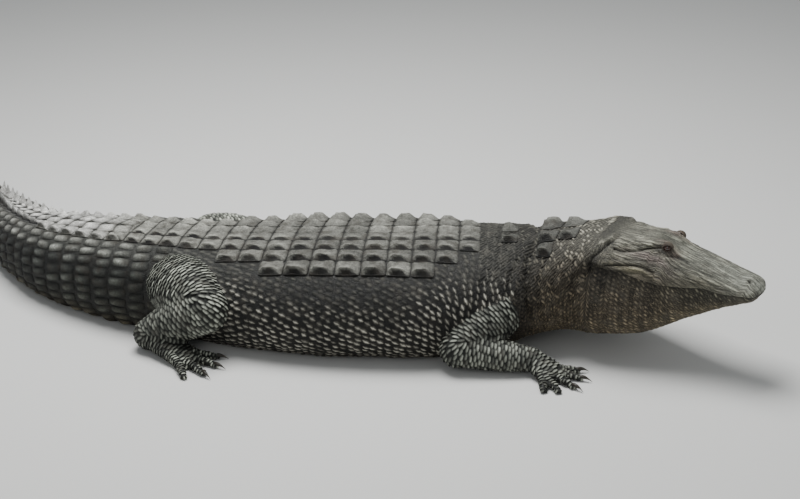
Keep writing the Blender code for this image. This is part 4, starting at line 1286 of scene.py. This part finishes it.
def dome(x, y, draw):
    """A low rounded scale with a pale streak along its middle."""
    edge = np.clip(1 - np.maximum(np.abs(x), np.abs(y)) ** 2.5, 0, 1)
    pale = np.clip(1.3 - 2.2 * np.abs(y), 0.08, 1) * np.clip(1.5 - 1.3 * np.abs(x), 0.10, 1)
    return 0.20 + 0.80 * edge * (0.85 - 0.15 * x), edge * pale


def tile(x, y, draw):
    """A flat scale with rounded edges."""
    edge = smooth((1 - np.maximum(np.abs(x), np.abs(y))) / 0.5)
    return 0.35 + 0.65 * edge, edge


def boss(x, y, draw):
    """A square scale swollen to a blunt keel behind its middle."""
    edge = smooth((1 - np.maximum(np.abs(x), np.abs(y))) / 0.45)
    swell = hump(y, 0.1 * np.sin(30 * draw), 0.55) * hump(x, -0.25, 0.65)
    return 0.15 + 0.25 * edge + 0.60 * edge * swell, np.clip(0.14 * edge + 0.90 * swell * edge, 0, 1)


def shingle(x, y, draw):
    """A scale whose pale rear edge stands up over the next one."""
    rise = smooth((0.75 - x) / 1.5)
    edge = smooth((1.12 - np.abs(y)) / 0.50)
    return 0.10 + 0.90 * rise * edge, rise**1.4 * edge * (x > -0.95)


# A kind of scale: columns and rows of its patch, its shape, how square its outline is, how far it is
# sunk, its material, and the places across of its rows where they aren't even, closest at the keel
Kind = namedtuple("Kind", "grid shape corner sunk material rows_at", defaults=(None,))
KEEL_ROWS = (-1.0, -0.55, -0.10, 0.20, 0.40, 0.50, 0.62, 0.82, 1.0)
PLATE = Kind((11, 9), keeled, 9.0, 0.005, "Plate horn", KEEL_ROWS)
CREST_BLADE = Kind((9, 7), blade, 5.0, 0.006, "Plate horn")
TAIL_TOP = Kind((7, 7), tile, 9.0, 0.005, "Plate horn")
TAIL_SIDE = Kind((6, 6), boss, 6.0, 0.004, "Plate horn")
FLANK_SCALE = Kind((5, 5), dome, 1.7, 0.003, "Small scales")
BELLY_SCALE = Kind((4, 4), tile, 8.0, 0.003, "Small scales")
NECK_SCALE = Kind((4, 4), dome, 2.0, 0.0025, "Small scales")
JAW_SCALE = Kind((3, 3), tile, 4.0, 0.002, "Small scales")
LEG_SCALE = Kind((5, 5), shingle, 3.4, 0.002, "Small scales")


def shield_rows():
    """Station, length, plates across and their width for each row of the back."""
    rows = []
    s = SHIELD_START
    for row in range(SHIELD_ROWS):
        share = row / (SHIELD_ROWS - 1)
        length = 0.060 + 0.008 * math.sin(math.pi * min(share * 1.3, 1.0))
        length -= 0.010 * smooth((share - 0.7) / 0.3)
        across = 4 if row == 0 or row > 10 else 6 if row in (1, 9, 10) else 8
        width = 0.051 - 0.006 * smooth((share - 0.65) / 0.35)
        rows.append((s + length / 2, length, across, width))
        s += length
    return rows


def whorl_stations():
    """Stations and lengths of the tail's rings of scales, shorter towards the tip."""
    weights = [1.15 - 0.45 * k / (WHORLS - 1) for k in range(WHORLS)]
    scale = (TOTAL_LENGTH - 0.03 - WHORL_START) / sum(weights)
    rings = []
    s = WHORL_START
    for weight in weights:
        length = weight * scale
        rings.append((s + length / 2, length))
        s += length
    return rings


def crest_spread(s):
    """Half distance between the two rows of the tail's crest."""
    return 0.062 * (1 - smooth((s - VENT) / (SINGLE_CREST + 0.05 - VENT))) + 0.012


def shield_edge(s):
    """Girth of the outer edge of the back plates at a station; nothing before the first row."""
    for middle, length, across, width in shield_rows():
        if abs(s - middle) <= length / 2:
            return across / 2 * width * 1.01
    return 0.0 if s < SHIELD_START else 0.092


def crest_height(share):
    """Height of the tail's crest, low at the root of the tail and tallest where its rows meet."""
    rising = 0.010 + 0.027 * smooth((share - 0.12) / 0.42)
    return float(min(rising, 0.050 * (1 - share) ** 0.45))


def size_property(default, low, high, name, description):
    return FloatProperty(
        name=name, description=description, default=default, min=low, max=high, unit="LENGTH",
    )


def colour_property(name, description, *colour):
    return FloatVectorProperty(
        name=name, description=description, subtype="COLOR", default=tuple(linear(colour)), min=0, max=1,
    )


class AlligatorShape(PropertyGroup):
    """Sizes of what stands on the hide."""

    keel_height: size_property(0.0175, 0.004, 0.03, "Keel height", "Height of the back plates' keels")
    flank_pitch: size_property(0.039, 0.01, 0.06, "Flank pitch", "Distance between scales along the flank")
    flank_relief: size_property(0.0038, 0.001, 0.008, "Flank relief", "Height of the scales of the flank")
    leg_pitch: size_property(0.010, 0.006, 0.02, "Leg pitch", "Distance between rows of scales on the legs")
    neck_pitch: size_property(0.013, 0.006, 0.02, "Neck pitch", "Distance between the scales of the neck")
    belly_pitch: size_property(0.03, 0.015, 0.05, "Belly pitch", "Distance between rows of squares below")
    eye_radius: size_property(0.0145, 0.008, 0.02, "Eye radius", "Radius of the eyeball")
    claw_length: size_property(0.038, 0.01, 0.06, "Claw length", "Length of a claw from its root")
    seed: IntProperty(name="Seed", description="Start of the random variation", default=11, min=0)


class AlligatorColours(PropertyGroup):
    """Colours of plates, scales, eyes and claws."""

    plate: colour_property("Plates", "Light top of the back plates", 150, 150, 141)
    plate_shade: colour_property("Plate sides", "Dark sides of the back plates", 12, 11, 10)
    flank_crest: colour_property("Flank scales", "Pale tops of the flank's scales", 226, 222, 206)
    tail_crest: colour_property("Tail crest", "Light keels of the tail", 240, 239, 233)
    iris: colour_property("Iris", "Colour of the iris", 66, 36, 26)
    claw: colour_property("Claw", "Colour of the claws", 44, 40, 34)


class AlligatorStage(PropertyGroup):
    """Camera and floor."""

    distance: FloatProperty(
        name="Distance", description="Distance of the camera from the animal", default=4.3, unit="LENGTH",
    )
    elevation: FloatProperty(
        name="Elevation", description="Height of the camera above the horizon",
        default=math.radians(24), subtype="ANGLE",
    )
    lens: FloatProperty(
        name="Lens", description="Focal length of the camera", default=68.3, subtype="DISTANCE_CAMERA",
    )
    floor: FloatVectorProperty(
        name="Floor", description="Colour of the floor", subtype="COLOR", default=(0.62, 0.62, 0.60),
    )


class ALLIGATOR_OT_hide(Operator):
    """Model the hide of the whole animal as one skin"""

    bl_idname = "alligator.hide"
    bl_label = "Hide"

    def execute(self, context):
        skin = trunk_skin()
        limbs = [limb_skin(limb, side) for limb, side, _ in LIMBS]
        trees = [BVHTree.FromObject(limb, context.evaluated_depsgraph_get()) for limb in limbs]
        for limb in limbs:
            modified(skin, "BOOLEAN", operation="UNION", object=limb, solver="MANIFOLD")
            bpy.data.objects.remove(limb)
        soften_seams(skin, trees)
        mesh = skin.data
        points = values_of(mesh.vertices, "co")
        station, girth, fold_shading = trunk_places(points)
        corners = [tuple(p) for p in TRUNK.points.reshape(-1, 3)]
        trunk_tree = BVHTree.FromPolygons(corners, grid_faces(*TRUNK.points.shape[:2]))
        owner = np.full(len(points), -1)
        for index, point in enumerate(points):
            spot = Vector(point)
            near = [k for k, tree in enumerate(trees) if tree.find_nearest(spot, 0.0015)[0] is not None]
            if near and trunk_tree.find_nearest(spot, 0.0008)[0] is None:
                owner[index] = near[0]
        on_limb = owner >= 0
        MADE["limbs"] = limb_places(mesh, points, owner, trunk_tree)
        colour = hide_colour(station, girth)
        # Painted shade in creases and the mouth line, painted highlight on ridges and the upper lip's edge
        colour *= (1 - 0.80 * np.clip(fold_shading, 0, 1) + 0.70 * np.clip(-fold_shading, 0, 1))[:, None]
        colour[on_limb] = linear(LEG_COLOUR)
        set_points(mesh, "tint", colour)
        neck = smooth((station - 0.36) / 0.08) * smooth((0.74 - station) / 0.06)
        neck *= smooth((girth / TRUNK.girth(station) - 0.12) / 0.1)
        set_points(mesh, "neck", np.where(on_limb, 0, neck))
        snout = smooth((0.42 - station) / 0.06)
        set_points(mesh, "snout", np.where(on_limb, 0, snout))
        set_points(mesh, "flow", np.stack([station, girth, np.zeros_like(girth)], axis=1))
        activate(smooth_piece(skin))
        finish_piece(skin, hide_material("Bare hide"), FLESH)
        MADE["tree"] = BVHTree.FromObject(skin, context.evaluated_depsgraph_get())
        return {"FINISHED"}


# Plates of the neck: station, girth, length and width
NECK_PLATES = (
    (0.545, 0.036, 0.058, 0.060),
    (0.607, 0.036, 0.058, 0.062),
    (0.607, 0.098, 0.052, 0.052),
    (0.720, 0.034, 0.048, 0.046),
)


class ALLIGATOR_OT_back_plates(Operator):
    """Lay the keeled plates of neck and back"""

    bl_idname = "alligator.back_plates"
    bl_label = "Back plates"

    def execute(self, context):
        shape = context.scene.alligator_shape
        colours = context.scene.alligator_colours
        rng = np.random.default_rng(shape.seed)
        cells = []
        for plate in NECK_PLATES:
            for side, _ in SIDES:
                cells.append((*plate, shape.keel_height * 1.15, 0, side, rng.random()))
        for s, length, across, width in shield_rows():
            for k in range(across // 2):
                u = (k + 0.5) * width * 1.01
                for side, _ in SIDES:
                    height = shape.keel_height * jitter(rng, 0.15) * (0.45 + 0.25 * k)
                    turn = rng.uniform(-0.03, 0.03)
                    cells.append((s, u, length - 0.002, width - 0.0002, height, turn, side, rng.random()))

        def paint(along, across, side, draw):
            rear = 0.5 * smooth((along - 1.30) / 0.45)
            tone = ((0.82 + 0.5 * draw) * (1 + rear - 0.3 * (along < SHIELD_START)))[:, None]
            return np.array(colours.plate_shade) * tone, np.array(colours.plate) * tone

        lay_scales("back_plates", PLATE, cells, paint)
        return {"FINISHED"}


def ring_scales(rng, s, length, outer):
    """The squarish scales of one ring round the tail, from below the crest to the underside."""
    girth = float(TRUNK.girth(s))
    count = max(2, int(round((girth - outer) / 0.029)))
    step = (girth - outer) / count
    cells = []
    for k in range(count):
        high = 0.0085 if k < count - 2 else 0.0035
        g = outer + (k + 0.5) * step
        for side, _ in SIDES:
            tall = high * jitter(rng, 0.25)
            at = s + rng.uniform(-0.003, 0.003)
            down = g + rng.uniform(-0.003, 0.003) * (k > 0)
            size = (length * rng.uniform(0.82, 0.96), step * rng.uniform(0.80, 0.96))
            cells.append((at, down, *size, tall, rng.uniform(-0.14, 0.14), side, rng.random()))
    return cells


# Stations of the rings of scales between the last back plates and the tail's first whorl
HIP_RINGS = (1.6725, 1.7275, 1.7825)


class ALLIGATOR_OT_tail_plates(Operator):
    """Lay the crest and the rings of scales of the tail"""

    bl_idname = "alligator.tail_plates"
    bl_label = "Tail plates"

    def execute(self, context):
        shape = context.scene.alligator_shape
        colours = context.scene.alligator_colours
        rng = np.random.default_rng(shape.seed + 1)
        crest = []
        ridge = []
        top = []
        rings = []
        for s, length in whorl_stations():
            share = (s - VENT) / (TOTAL_LENGTH - VENT)
            tall = crest_height(share) * jitter(rng, 0.08)
            if s < SINGLE_CREST:
                spread = crest_spread(s)
                wide = min(0.030, 2 * spread - 0.003)
                ridged = s < RIDGE_END
                outer = spread + (0.018 if ridged else 0.015)
                for side, _ in SIDES:
                    if ridged:
                        ridge.append((s, spread, length - 0.001, 0.036, 0.016, 0, side, rng.random()))
                    else:
                        crest.append((s, spread, length - 0.001, wide, tall, 0, side, rng.random()))
                    if spread > 0.020:
                        inner = spread - (0.018 if ridged else 0.0145)
                        slant = -0.30 * jitter(rng, 0.2)
                        size = (length - 0.0015, inner, 0.006)
                        top.append((s, inner / 2 + 0.001, *size, slant, side, rng.random()))
            else:
                wide = max(0.020 * (1 - share) + 0.006, 0.007)
                outer = wide / 2
                crest.append((s, 0.0, length - 0.002, wide, tall, 0, -1, rng.random()))
            rings += ring_scales(rng, s, length, outer)
        for s in HIP_RINGS:
            rings += ring_scales(rng, s, 0.055, float(shield_edge(s)) + 0.002)

        def paint_crest(along, across, side, draw):
            tone = (0.80 + 0.4 * draw)[:, None]
            return np.array(colours.plate_shade) * tone, np.array(colours.tail_crest) * tone

        def paint_top(along, across, side, draw):
            tone = (0.80 + 0.4 * draw)[:, None]
            pale = smooth((along - 1.78) / 0.22)[:, None]
            high = np.array(colours.plate) * 1.5 * (1 - pale) + np.array(colours.tail_crest) * pale
            ground = np.where((np.abs(along - VENT) < 0.40)[:, None], np.array(colours.plate) * 0.30, 0.0)
            return ground * tone, high * tone

        def paint_rings(along, across, side, draw):
            bare = hide_colour(along, across)
            tone = (0.5 + 2.6 * draw**1.5)[:, None]
            # Painted shade of the crest: the scales just below it are darker
            upper = smooth((0.26 - across / TRUNK.girth(along)) / 0.10)[:, None]
            return bare * 0.35, bare * (1.7 + 1.3 * tone) * (1 - 0.72 * upper)

        lay_scales("tail_crest", CREST_BLADE, crest, paint_crest)
        lay_scales("tail_ridge", PLATE, ridge, paint_top)
        lay_scales("tail_top", TAIL_TOP, top, paint_top)
        lay_scales("tail_scales", TAIL_SIDE, rings, paint_rings)
        return {"FINISHED"}


def flank_share(s, g):
    """How pale and large the flank's scales are: little under the plates, most towards the belly."""
    start = 0.37 - 0.09 * smooth((s - 1.32) / 0.12) - 0.10 * smooth((1.02 - s) / 0.12)
    return smooth((g / TRUNK.girth(s) - start) / 0.17)


# First and last station of the small scales, and how far apart the jaw's are
FLANK_SPAN = (0.705, 1.655)
BELLY_SPAN = (0.70, 1.80)
NECK_SPAN = (0.440, SHIELD_START + 0.03)
JAW_SPAN = (0.050, 0.440)
JAW_PITCH = 0.0125


def rows_between(first, last, step):
    """Number and station of each row of scales from one station up to another."""
    row = 0
    s = first
    while s < last:
        yield row, s
        s += step
        row += 1


def staggered(top, bottom, count, row, offset):
    """Girths of a row of scales, every second row half a step further down."""
    return [top + (bottom - top) * (k + 0.5 * (row % 2) + offset) / count for k in range(count)]


class ALLIGATOR_OT_flank_scales(Operator):
    """Lay the small pale scales of the flanks and the squares of the belly"""

    bl_idname = "alligator.flank_scales"
    bl_label = "Flank and belly scales"

    def execute(self, context):
        shape = context.scene.alligator_shape
        colours = context.scene.alligator_colours
        rng = np.random.default_rng(shape.seed + 2)
        cells = []
        for row, s in rows_between(*FLANK_SPAN, shape.flank_pitch / 2):
            top = float(shield_edge(s)) + (0.006 if s > SHIELD_START else 0.0)
            bottom = float(TRUNK.girth(s)) * 0.70
            count = max(1, int((bottom - top) / (shape.flank_pitch * 0.46)))
            rear = smooth((s - 1.35) / 0.15)
            lean = 0.45 + 0.75 * smooth((0.98 - s) / 0.18) - 0.15 * rear
            for g in staggered(top, bottom, count, row, 0.25):
                share = float(flank_share(s, g))
                long = 0.0185 + 0.0030 * share + 0.006 * rear * (1 - share)
                wide = 0.0135 + 0.0015 * share
                high = rng.uniform(0.7, 1.2) * shape.flank_relief * (0.6 + 0.4 * share)
                for side, _ in SIDES:
                    at = s + rng.uniform(-0.004, 0.004) + 0.004 * math.sin(9 * share + 5 * s)
                    down = g + rng.uniform(-0.003, 0.003)
                    size = (long * jitter(rng, 0.2), wide * jitter(rng, 0.2))
                    cells.append((at, down, *size, high, lean * jitter(rng, 0.2), side, rng.random()))
        belly = []
        for _, s in rows_between(*BELLY_SPAN, shape.belly_pitch):
            girth = float(TRUNK.girth(s))
            top = girth * 0.71
            count = max(4, int(round((girth - top) / 0.024)))
            step = (girth - top) / count
            size = (shape.belly_pitch - 0.002, step - 0.002, 0.0022)
            for k in range(count):
                for side, _ in SIDES:
                    belly.append((s, top + (k + 0.5) * step, *size, 0, side, rng.random()))

        def paint(along, across, side, draw):
            bare = hide_colour(along, across)
            share = flank_share(along, across)
            tone = np.clip((0.07 + 0.93 * share) * (0.36 + 1.25 * draw**1.4), 0, 1)[:, None]
            high = bare * (1 - tone) + np.array(colours.flank_crest) * tone
            return bare * (0.66 - 0.48 * share)[:, None], high

        def paint_belly(along, across, side, draw):
            bare = hide_colour(along, across)
            return bare * 0.5, bare * (0.95 + 0.3 * draw)[:, None]

        lay_both_sides("flank_scales", FLANK_SCALE, cells, paint)
        lay_scales("belly_scales", BELLY_SCALE, belly, paint_belly)
        return {"FINISHED"}


def lip_girth(s):
    """Girth of the lower lip at a station of the head."""
    half_u, half_z = half_sections(np.array([s]))
    return running(np.hypot(np.diff(half_u[0]), np.diff(half_z[0])))[UPPER + SLIT + 1]


class ALLIGATOR_OT_neck_scales(Operator):
    """Lay the fine scales of neck, jowl and jaw"""

    bl_idname = "alligator.neck_scales"
    bl_label = "Neck and jaw scales"

    def execute(self, context):
        shape = context.scene.alligator_shape
        rng = np.random.default_rng(shape.seed + 3)
        pitch = shape.neck_pitch
        cells = []
        for row, s in rows_between(*NECK_SPAN, pitch * 0.46):
            girth = float(TRUNK.girth(s))
            top = float(shield_edge(s)) if s < SHIELD_START else 0.21
            bottom = girth * 0.97 if s < 0.705 else 0.21
            count = max(1, int((bottom - top) / (pitch * 0.95)))
            for g in staggered(top, bottom, count, row, 0.25):
                share = g / girth
                lean = 0.75 * smooth((0.62 - share) / 0.25) + 0.15
                for side, _ in SIDES:
                    draw = rng.random()
                    fleck = draw > 0.84 and share < 0.5 and s < 0.70
                    at = s + rng.uniform(-0.0015, 0.0015)
                    long = pitch * (0.52 + 0.15 * smooth((share - 0.4) / 0.2)) * jitter(rng, 0.15)
                    wide = pitch * 1.05 * jitter(rng, 0.25)
                    high = 0.0030 * rng.uniform(0.5, 1.1)
                    if fleck:
                        long *= 3.1
                        wide *= 0.66
                        high *= 1.5
                    cells.append((at, g, long, wide, high, lean * jitter(rng, 0.3), side, draw))
        jaw = []
        for row, s in rows_between(*JAW_SPAN, JAW_PITCH):
            lip = lip_girth(s)
            girth = float(TRUNK.girth(s))
            count = max(3, int((girth - lip) / JAW_PITCH))
            for g in staggered(lip, girth, count, row, 0.3):
                for side, _ in SIDES:
                    size = (JAW_PITCH * jitter(rng, 0.15), 0.0112 * jitter(rng, 0.15))
                    jaw.append((s, g, *size, 0.0012 * jitter(rng, 0.3), 0, side, rng.random()))

        def paint(along, across, side, draw):
            bare = hide_colour(along, across)
            high = smooth((0.50 - across / TRUNK.girth(along)) / 0.3) * (along > HEAD_END) * (along < 0.69)
            return bare * 0.36, bare * (1.25 + 3.3 * draw**2.2 + 1.8 * high * (draw > 0.84))[:, None]

        lay_both_sides("neck_scales", NECK_SCALE, cells, paint)
        lay_scales("jaw_scales", JAW_SCALE, jaw, paint)
        return {"FINISHED"}


class ALLIGATOR_OT_leg_scales(Operator):
    """Lay the banded scales of the legs and toes"""

    bl_idname = "alligator.leg_scales"
    bl_label = "Leg scales"

    def execute(self, context):
        shape = context.scene.alligator_shape
        rng = np.random.default_rng(shape.seed + 4)
        pitches = ((shape.leg_pitch, shape.leg_pitch * 2), (0.0080, 0.016))
        low = linear(LEG_COLOUR) * 0.30
        high = linear(LEG_CREST)
        for number, (limb, side, limb_name) in enumerate(LIMBS):
            joints = limb_joints(limb, side)
            inside = joints[0] + (joints[0] - joints[1]).normalized() * 0.06
            beyond = joints[3] + (joints[3] - joints[2]).normalized() * 0.03
            paths = [[inside] + joints + [beyond]]
            for toe in toe_paths(limb, side)[0]:
                paths.append(toe["centres"][len(toe["centres"]) // 3:])
            skin = LimbScales(*MADE["limbs"][number], paths, pitches)
            cells = []
            for k in skin.chosen:
                pitch, wide = skin.pitch[k]
                lift = pitch * 0.33 * jitter(rng, 0.25)
                cells.append((0, 0, pitch * 1.3, wide * 1.2, lift, 0, k, rng.random()))

            def paint(along, across, owner, draw):
                upper = 1 - smooth((skin.run[owner.astype(int)] - 0.20) / 0.10)
                pale = 1 + limb["pale_thigh"] * upper - limb["dark_shank"] * (1 - upper)
                return np.broadcast_to(low, (len(along), 3)), high * ((0.16 + 1.05 * draw) * pale)[:, None]

            def unwrap(along, across, owner):
                k = owner.astype(int)
                return 0.01 + 0.12 * skin.number[k] + 0.4 * skin.run[k], 0.5 + 0.47 * skin.turn[k] / math.pi

            lay_scales("leg_scales_" + limb_name, LEG_SCALE, cells, paint, skin.read, unwrap)
        return {"FINISHED"}


class ALLIGATOR_OT_eyes(Operator):
    """Model eyes and eyelids"""

    bl_idname = "alligator.eyes"
    bl_label = "Eyes and lids"

    def execute(self, context):
        radius = context.scene.alligator_shape.eye_radius
        material = eye_material("Eye")
        forward, left = directions(EYE[0])
        for side, side_name in SIDES:
            centre = Vector(place(EYE[0], EYE[1] * side, EYE[2]))
            look = (left * side + forward * 0.25 + Vector((0, 0, 0.15))).normalized()
            turn = look.to_track_quat("Z", "Y")
            bpy.ops.object.select_all(action="DESELECT")
            bpy.ops.mesh.primitive_uv_sphere_add(segments=48, ring_count=32, radius=radius)
            eye = bpy.context.object
            eye.name = "eyeball_" + side_name
            points = values_of(eye.data.vertices, "co")
            tilt = np.degrees(np.arccos(np.clip(points[:, 2] / radius, -1, 1)))
            set_points(eye.data, "from_pupil", tilt)
            rest = turn.inverted() @ Vector((0, 0, 1))
            rest = Vector((rest.x, rest.y, 0)).normalized()
            set_points(eye.data, "slit", points @ np.array(rest.cross(Vector((0, 0, 1)))) / radius)
            set_points(eye.data, "tall", points @ np.array(rest) / radius)
            for vert, angle in zip(eye.data.vertices, tilt):
                vert.co = centre + turn @ (vert.co * (1 + 0.06 * math.exp(-((angle / 24) ** 2))))
            finish_piece(smooth_piece(eye), material, ("eye_" + side_name,))
            lid = eyelids("eyelids_" + side_name, radius, centre, turn)
            station, girth, _ = trunk_places(values_of(lid.data.vertices, "co"))
            set_points(lid.data, "tint", hide_colour(station, girth) * (0.9, 0.75, 0.68))
            finish_piece(smooth_piece(lid), horn("Small scales"))
        return {"FINISHED"}


# Rings of an eyelid: degrees away from the middle of the look, and how far off the eye in thicknesses
LID_RINGS = (
    (100, 0.6), (82, 0.9), (68, 1.0), (58, 1.15), (50, 1.7),
    (45, 1.9), (42, 1.2), (43, 0.2), (60, -0.6), (100, -0.8),
)
LID_COLUMNS = 40
LID_THICK = 0.0016


def eyelids(name, radius, centre, turn):
    """Two lids round an eye, as one thick folded shell with an almond opening."""
    upright = turn.inverted() @ Vector((0, 0, 1))
    spin = math.atan2(upright.y, upright.x) - math.pi / 2
    cos = math.cos(spin)
    sin = math.sin(spin)
    points = []
    for polar, grow in LID_RINGS:
        reach = radius + LID_THICK * grow
        open_share = smooth((62 - polar) / 22)
        for k in range(LID_COLUMNS):
            around = 2 * math.pi * k / LID_COLUMNS
            squash = 1 - 0.42 * open_share * abs(math.sin(around)) ** 1.2
            angle = math.radians(polar * squash if polar < 62 else polar)
            x = reach * math.sin(angle) * math.cos(around)
            y = reach * math.sin(angle) * math.sin(around)
            spot = Vector((x * cos - y * sin, x * sin + y * cos, reach * math.cos(angle)))
            points.append(centre + turn @ spot)
    lid = closed_object(name, points, grid_faces(len(LID_RINGS), LID_COLUMNS, closed=True))
    modified(lid, "SUBSURF", levels=1, render_levels=1)
    return lid


def eye_material(name):
    """A dark iris with fine fibres and an upright pupil, under a wet coat."""
    material, tree, shader, place_on = new_material(name, 0.06)
    slit = number_node(tree, "ABSOLUTE", attribute(tree, "slit"))
    tall = number_node(tree, "ABSOLUTE", attribute(tree, "tall"))
    outward = number_node(tree, "DIVIDE", attribute(tree, "from_pupil"), 90.0)
    ramp = add_node(tree, "ValToRGB", {"Fac": outward})
    inner, rim = ramp.color_ramp.elements
    inner.color = (*bpy.context.scene.alligator_colours.iris, 1)
    rim.position = 0.62
    rim.color = (0.010, 0.006, 0.004, 1)
    pupil = number_node(tree, "LESS_THAN", slit, number_node(tree, "MULTIPLY_ADD", tall, -0.16, 0.10))
    fibres = noise_node(tree, place_on, 900.0, 2.0)
    level = number_node(tree, "MULTIPLY_ADD", fibres, 0.9, 0.55)
    level = number_node(tree, "MULTIPLY", level, number_node(tree, "MULTIPLY_ADD", pupil, -0.98, 1.0))
    colour = scaled(tree, ramp.outputs["Color"], level)
    fill(tree, shader, {"Base Color": colour, "Coat Weight": 0.8, "Coat Roughness": 0.03})
    return material


class ALLIGATOR_OT_claws(Operator):
    """Model the claws of every foot"""

    bl_idname = "alligator.claws"
    bl_label = "Claws"

    def execute(self, context):
        length = context.scene.alligator_shape.claw_length
        material = claw_material("Claw horn")
        for limb, side, limb_name in LIMBS:
            toes = [toe for toe in toe_paths(limb, side)[0] if toe["claw"]]
            group = joined([claw(toe["centres"][-1], toe["along"], length) for toe in toes])
            group.name = "claws_" + limb_name
            finish_piece(group, material)
        return {"FINISHED"}


# A claw before it is bent: sides, steps along it, and its radius at root and tip
CLAW_SIDES = 14
CLAW_STEPS = 9
CLAW_ROOT = 0.0062
CLAW_TIP = 0.0005


def claw(tip, along, length):
    """One curved, tapered claw that leaves the end of a toe."""
    bpy.ops.object.select_all(action="DESELECT")
    bpy.ops.mesh.primitive_cone_add(
        vertices=CLAW_SIDES, radius1=CLAW_ROOT, radius2=CLAW_TIP, depth=length, end_fill_type="NGON",
    )
    piece = bpy.context.object
    bpy.ops.object.mode_set(mode="EDIT")
    for step in range(1, CLAW_STEPS):
        bpy.ops.mesh.select_all(action="SELECT")
        level = (step / CLAW_STEPS - 0.5) * length
        bpy.ops.mesh.bisect(plane_co=(0, 0, level), plane_no=(0, 0, 1))
    bpy.ops.object.mode_set(mode="OBJECT")
    across = Vector((-along.y, along.x, 0))
    for vert in piece.data.vertices:
        t = vert.co.z / length + 0.5
        swell = 1 + 0.35 * math.sin(math.pi * min(t * 1.2, 1.0))
        side = vert.co.x * swell * 0.85
        rise = vert.co.y * swell
        high = 0.0105 + 0.0045 * math.sin(math.pi * t * 0.9) - 0.0085 * t * t
        vert.co = Vector((tip.x, tip.y, 0)) + along * (t * length - 0.006) + across * side
        vert.co.z = max(high + rise, 0.0006)
    return smooth_piece(piece)


def claw_material(name):
    """Dark horn with streaks along the claw."""
    material, tree, shader, place_on = new_material(name, 0.32)
    colour = (*bpy.context.scene.alligator_colours.claw, 1)
    mottle = mottled(tree, place_on, colour, 0.3, 0.8, (0.3, 0.28, 0.23))
    streaks = streak_noise(tree, place_on, (90, 600, 600))
    fill(tree, shader, {"Base Color": mottle["Colour"], "Normal": bump_node(tree, streaks, 0.0006)})
    return material


# Lamps: name, place, size and power
LAMPS = (
    ("overhead", (-0.3, 0.5, 3.4), 2.0, 200),
    ("window", (-1.5, -4.2, 2.6), 2.5, 30),
    ("bounce", (3.5, -1.5, 1.4), 2.0, 12),
)
LAMPS_AIM = (0.1, 0, 0.15)
CAMERA_AIM = (0.142, 0.0, 0.229)
SKY = (0.80, 0.84, 0.88, 1)
SKY_STRENGTH = 0.35
FLOOR_SIZE = 40
SENSOR_WIDTH = 36
CLIP_END = 200


class ALLIGATOR_OT_stage(Operator):
    """Set the floor, the light and the camera"""

    bl_idname = "alligator.stage"
    bl_label = "Stage"

    def execute(self, context):
        stage = context.scene.alligator_stage
        bpy.ops.object.select_all(action="DESELECT")
        bpy.ops.mesh.primitive_plane_add(size=FLOOR_SIZE, location=(0, 0, 0))
        floor = bpy.context.object
        floor.name = "floor"
        material, tree, shader, _ = new_material("Floor paper", 0.9)
        fill(tree, shader, {"Base Color": (*stage.floor, 1)})
        floor.data.materials.append(material)
        for name, where, size, power in LAMPS:
            bpy.ops.object.light_add(type="AREA", location=where)
            lamp = bpy.context.object
            lamp.name = name
            lamp.data.size = size
            lamp.data.energy = power
            aim = Vector(LAMPS_AIM) - Vector(where)
            lamp.rotation_euler = aim.to_track_quat("-Z", "Y").to_euler()
        world = bpy.data.worlds.new("studio")
        world.use_nodes = True
        sky = world.node_tree.nodes["Background"].inputs
        fill(world.node_tree, sky, {"Color": SKY, "Strength": SKY_STRENGTH})
        context.scene.world = world
        back = Vector((0, -math.cos(stage.elevation), math.sin(stage.elevation)))
        bpy.ops.object.camera_add(
            location=Vector(CAMERA_AIM) + back * stage.distance,
            rotation=(math.pi / 2 - stage.elevation, 0, 0),
        )
        camera = bpy.context.object
        camera.data.lens = stage.lens
        camera.data.sensor_width = SENSOR_WIDTH
        camera.data.clip_end = CLIP_END
        context.scene.camera = camera
        return {"FINISHED"}


OPERATORS = (
    ALLIGATOR_OT_hide,
    ALLIGATOR_OT_back_plates,
    ALLIGATOR_OT_tail_plates,
    ALLIGATOR_OT_flank_scales,
    ALLIGATOR_OT_neck_scales,
    ALLIGATOR_OT_leg_scales,
    ALLIGATOR_OT_eyes,
    ALLIGATOR_OT_claws,
    ALLIGATOR_OT_stage,
)


class ALLIGATOR_PT_panel(Panel):
    """Lists the pieces of the alligator"""

    bl_label = "Alligator"
    bl_idname = "ALLIGATOR_PT_panel"
    bl_space_type = "VIEW_3D"
    bl_region_type = "UI"
    bl_category = "Alligator"

    def draw(self, context):
        for operator in OPERATORS:
            self.layout.operator(operator.bl_idname)
        for group in (context.scene.alligator_shape, context.scene.alligator_colours):
            for name in group.__annotations__:
                self.layout.prop(group, name)


GROUPS = (AlligatorShape, AlligatorColours, AlligatorStage)


def register():
    for cls in GROUPS + OPERATORS + (ALLIGATOR_PT_panel,):
        bpy.utils.register_class(cls)
    bpy.types.Scene.alligator_shape = PointerProperty(type=AlligatorShape)
    bpy.types.Scene.alligator_colours = PointerProperty(type=AlligatorColours)
    bpy.types.Scene.alligator_stage = PointerProperty(type=AlligatorStage)


def unregister():
    del bpy.types.Scene.alligator_stage
    del bpy.types.Scene.alligator_colours
    del bpy.types.Scene.alligator_shape
    for cls in reversed(GROUPS + OPERATORS + (ALLIGATOR_PT_panel,)):
        bpy.utils.unregister_class(cls)


def main():
    register()
    bpy.ops.alligator.hide()
    bpy.ops.alligator.back_plates()
    bpy.ops.alligator.tail_plates()
    bpy.ops.alligator.flank_scales()
    bpy.ops.alligator.neck_scales()
    bpy.ops.alligator.leg_scales()
    bpy.ops.alligator.eyes()
    bpy.ops.alligator.claws()
    bpy.ops.alligator.stage()


if __name__ == "__main__":
    main()
